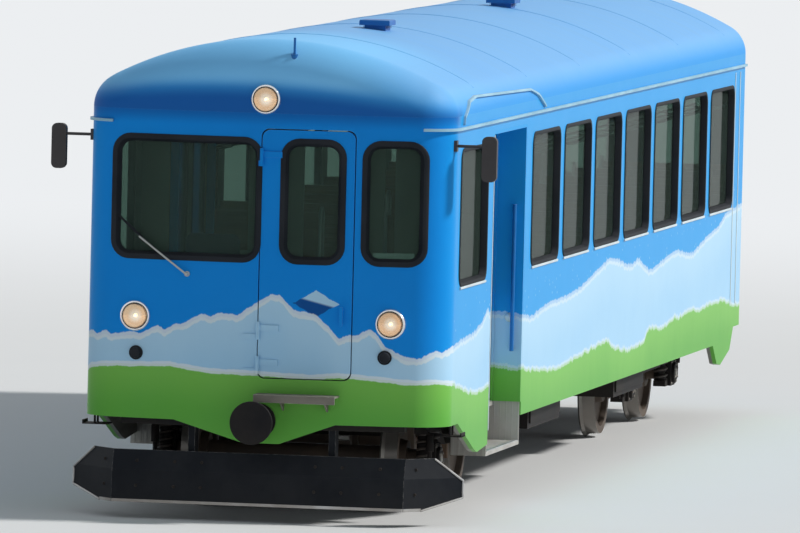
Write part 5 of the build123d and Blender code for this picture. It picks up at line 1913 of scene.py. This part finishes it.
@dataclass
class Cab:
    """Driver's seat, controller, dials and window ledge."""

    seat: Span = (-0.65, FRONT + 1.2)

    def cushion(self, name: str, centre: Point, size: Point, axis: int) -> bpy.types.Object:
        """A crowned pad whose sides pull in between its corners.

        Each point of a grid over two angles is a superellipsoid of power 0.35. The pad swells
        along its thin axis with the product of two cosines, and two sewn channels press it in.

        Args:
            name: the piece's name.
            centre: its middle.
            size: its half sizes.
            axis: the thin axis.

        Returns:
            The pad.
        """

        def bent(value: np.ndarray) -> np.ndarray:
            """The value raised to the power, with its sign kept."""
            return np.sign(value) * np.abs(value) ** 0.35

        turn = np.linspace(-math.pi, math.pi, 97)[None, :-1]
        rise = np.linspace(-math.pi / 2 + 0.02, math.pi / 2 - 0.02, 49)[:, None]
        u, v = (bent(np.cos(rise)) * bent(part(turn)) for part in (np.cos, np.sin))
        over_u, over_v = (np.cos(value * math.pi / 2) for value in (u, v))
        channel = 1.0 - 0.10 * np.exp(-(((np.abs(u) - 0.42) / 0.035) ** 2))
        crown = bent(np.sin(rise)) * (0.72 + 0.28 * over_u * over_v) * channel
        order = [k for k in range(3) if k != axis] + [axis]
        points = np.zeros((*u.shape, 3))
        points[..., order] = line(u * (1.0 - 0.05 * over_v**2), v * (1.0 - 0.05 * over_u**2), crown)
        shape = Shape()
        shape.grid(centre + size * points, caps=True)
        pad = shape.build(name, 60.0)
        corner = np.empty(len(pad.data.loops), dtype=int)
        pad.data.loops.foreach_get("vertex_index", corner)
        place = np.empty(len(pad.data.vertices) * 3)
        pad.data.vertices.foreach_get("co", place)
        flat = place.reshape(-1, 3)[corner][:, order[:2]]
        pad.data.uv_layers.new(name="weave").uv.foreach_set("vector", flat.reshape(-1))
        return pad

    def build(self) -> None:
        """Makes the cab's pieces."""
        self.build_seat()
        self.build_desk()

    def build_seat(self) -> None:
        """Driver's seat: a turned stand with two cushions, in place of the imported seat."""
        stand, (x, y) = Shape(), self.seat
        section = [
            (0.178, 0.001), (0.180, 0.012), (0.170, 0.020), (0.050, 0.026), (0.038, 0.060), (0.036, 0.46),
            (0.10, 0.475), (0.02, 0.478),
        ]
        stand.lathe(section, (x, y, FLOOR), (0, 0, 1), 32)
        stand.slab((x - 0.05, y + 0.16, FLOOR + 0.48), (x + 0.05, y + 0.20, FLOOR + 0.60), 0.008)
        stand_piece = stand.piece("driver_seat_stand", BENCH_STEEL, slot="seat")
        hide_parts("driver_seat")
        base = self.cushion("driver_seat_cushion", (x, y, FLOOR + 0.51), (0.215, 0.195, 0.042), 2)
        back = self.cushion("driver_seat_back", (x, y + 0.20, FLOOR + 0.78), (0.210, 0.034, 0.215), 1)
        for pad in (base, back):
            settle(pad, CLOTH, Body.CAR)

    def build_desk(self) -> None:
        """Handles, instrument hood and dials of the desk, and the ledge below the right windscreen."""
        handles, hood, dials, ledge = Shape(), Shape(), Shape(), Shape()
        knob = [(0.004, -0.018), (0.018, -0.010), (0.020, 0.0), (0.016, 0.012), (0.003, 0.017)]
        for x, lean in ((-0.95, 0.03), (-0.40, -0.02)):
            across = np.array([x, x + lean, x + 1.4 * lean])
            stick = line(across, FRONT + np.array([0.34, 0.36, 0.38]), np.array([1.74, 1.83, 1.86]))
            handles.tube(stick, 0.008, 8)
            handles.lathe(knob, stick[-1], (0, 0, 1), 16)
        handles.piece("controller_handles", BENCH_STEEL, slot="desk")
        hood.slab((-1.06, FRONT + 0.17, 1.785), (-0.30, FRONT + 0.22, 1.865), 0.012)
        hood.piece("instrument_hood", DESK, slot="desk")
        dial = [(0.034, -0.001), (0.034, 0.006), (0.029, 0.008), (0.027, 0.004), (0.002, 0.004)]
        for k in range(5):
            dials.lathe(dial, (-0.98 + 0.15 * k, FRONT + 0.2205, 1.825), (0, 1, 0), 24)
        dials.piece("instrument_dials", ENAMEL)
        x = np.linspace(0.80, 1.10, 9)
        section = ((1.900, -0.064), (1.955, -0.075), (1.955, -0.095), (1.900, -0.110))
        ledge.bar([FRONT_END.place(x, z + RAIL, out) for z, out in section])
        ledge.piece("cab_window_ledge", ALUMINIUM)


@dataclass
class Studio:
    """Pale floor, soft light and the camera at the photograph's angle."""

    pale: Colour = (0.84, 0.86, 0.88)
    floor_radius: float = 60.0
    camera: Point = (17.655, -96.973, 7.049)
    ahead: Point = (-0.20378, 0.97848, -0.03254)
    right: Point = (0.97857, 0.20458, 0.02340)
    up: Point = (-0.02955, 0.02708, 0.99920)
    photo_focal: float = 2983.0
    photo_width: float = 800.0
    car_middle: Span = (465.8 - 400.0, 338.6 - 266.5)
    zoom: float = 4.25
    sun: Point = (0.76, 0.19, 0.62)
    sun_colour: Colour = (1.0, 0.985, 0.955)
    sun_strength: float = 2.85
    sky: Colour = (0.84, 0.93, 1.0)
    sky_strength: float = 0.33

    def build(self) -> None:
        """Makes the floor, the light and the camera."""
        self.build_camera()
        self.build_floor()
        self.build_light()

    def build_camera(self) -> None:
        """Turns the photograph's view to the car's middle and narrows it, without shift."""
        ahead, right, up = (np.array(v) for v in (self.ahead, self.right, self.up))
        aim = ahead * self.photo_focal + right * self.car_middle[0] - up * self.car_middle[1]
        aim /= np.linalg.norm(aim)
        side = np.cross(aim, up)
        side /= np.linalg.norm(side)
        data = bpy.data.cameras.new("camera")
        data.sensor_width = 36.0
        data.lens = self.photo_focal * self.zoom * data.sensor_width / self.photo_width
        data.clip_start, data.clip_end = 1.0, 2000.0
        data.dof.use_dof = False
        camera = bpy.data.objects.new("camera", data)
        turn = Matrix(np.stack([side, np.cross(side, aim), -aim], axis=1).tolist())
        camera.matrix_world = Matrix.Translation(Vector(self.camera)) @ turn.to_4x4()
        bpy.context.scene.collection.objects.link(camera)
        bpy.context.scene.camera = camera

    def build_floor(self) -> None:
        """A wide disc whose far part fades into the background."""
        shape, turn = Shape(), circle(96)
        radius = np.array([0.5, 8.0, 20.0, 40.0, self.floor_radius])[:, None]
        shape.grid(line(radius * np.cos(turn), radius * np.sin(turn), -0.001))
        shape.faces.append(list(range(len(turn))))
        floor = shape.build("studio_floor")
        if floor.data.polygons[0].normal.z < 0:
            floor.data.flip_normals()
        material, canvas, shader = blank("studio_floor")
        x, y, _ = canvas.split(canvas.place())
        cloud = canvas.noise(canvas.place(), 0.8, 4.0, 0.55)
        grey = canvas.mix(cloud * 0.3, (0.80, 0.80, 0.80), (0.76, 0.76, 0.76))
        fill(shader, {"Base Color": grey, "Roughness": cloud * 0.1 + 0.85, "Specular IOR Level": 0.2})
        glow = canvas.node("ShaderNodeEmission", "Emission", {"Color": self.pale, "Strength": 1.0})
        far = (x * x + y * y).math("SQRT").smooth(12.0, 38.0)
        output = next(node for node in canvas.tree.nodes if node.type == "OUTPUT_MATERIAL")
        plain = Term(canvas.tree, shader.outputs[0])
        fill(output, {"Surface": self.either(canvas, far * self.seen(canvas), plain, glow)})
        floor.data.materials.append(material)

    def either(self, canvas: Canvas, share: Term, first: Term, second: Term) -> Term:
        """A mix of two shaders.

        Args:
            canvas: where it is drawn.
            share: 0 for the first, 1 for the second.
            first: a shader.
            second: a shader.

        Returns:
            The mixed shader.
        """
        node = canvas.tree.nodes.new("ShaderNodeMixShader")
        for slot, value in zip(node.inputs, (share, first, second)):
            plug(slot, value)
        return Term(canvas.tree, node.outputs[0])

    def seen(self, canvas: Canvas) -> Term:
        """1 for rays that show the background.

        Args:
            canvas: where it is drawn.

        Returns:
            1 for camera, glossy and transmission rays.
        """
        path = canvas.tree.nodes.new("ShaderNodeLightPath")
        names = ("Is Camera Ray", "Is Glossy Ray", "Is Transmission Ray")
        camera, glossy, through = (Term(canvas.tree, path.outputs[name]) for name in names)
        return camera.math("MAXIMUM", glossy).math("MAXIMUM", through)

    def build_light(self) -> None:
        """A soft key from the car's right and an even sky, with a pale background."""
        scene = bpy.context.scene
        scene.view_settings.view_transform = "Standard"
        scene.world = bpy.data.worlds.new("studio")
        scene.world.use_nodes = True
        canvas = Canvas(scene.world.node_tree)
        canvas.tree.nodes.clear()
        sky, shown = (
            canvas.node("ShaderNodeBackground", "Background", {"Color": colour, "Strength": strength})
            for colour, strength in ((self.sky, self.sky_strength), (self.pale, 1.0))
        )
        output = canvas.tree.nodes.new("ShaderNodeOutputWorld")
        fill(output, {"Surface": self.either(canvas, self.seen(canvas), sky, shown)})
        data = bpy.data.lights.new("key", "SUN")
        data.energy, data.angle, data.color = self.sun_strength, math.radians(6.0), self.sun_colour
        key = bpy.data.objects.new("key", data)
        key.matrix_world = Vector(self.sun).to_track_quat("Z", "Y").to_matrix().to_4x4()
        scene.collection.objects.link(key)


def main() -> None:
    """Builds the studio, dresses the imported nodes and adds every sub-assembly."""
    logging.basicConfig(level=logging.INFO, format="%(name)s: %(message)s")
    Studio().build()
    dress_nodes()
    bogies = (("front", -BOGIE_Y, Body.BOGIE_FRONT), ("rear", BOGIE_Y, Body.BOGIE_REAR))
    parts = (
        Glazing(), Wiper(), Lamps(), FrontFittings(), Mirrors(), RoofDetails(), SideTrim(),
        *(BogieDetails(*bogie) for bogie in bogies), Underfloor(), Saloon(), Cab(),
    )
    for part in parts:
        LOG.info("building %s", type(part).__name__)
        part.build()


if __name__ == "__main__":
    main()
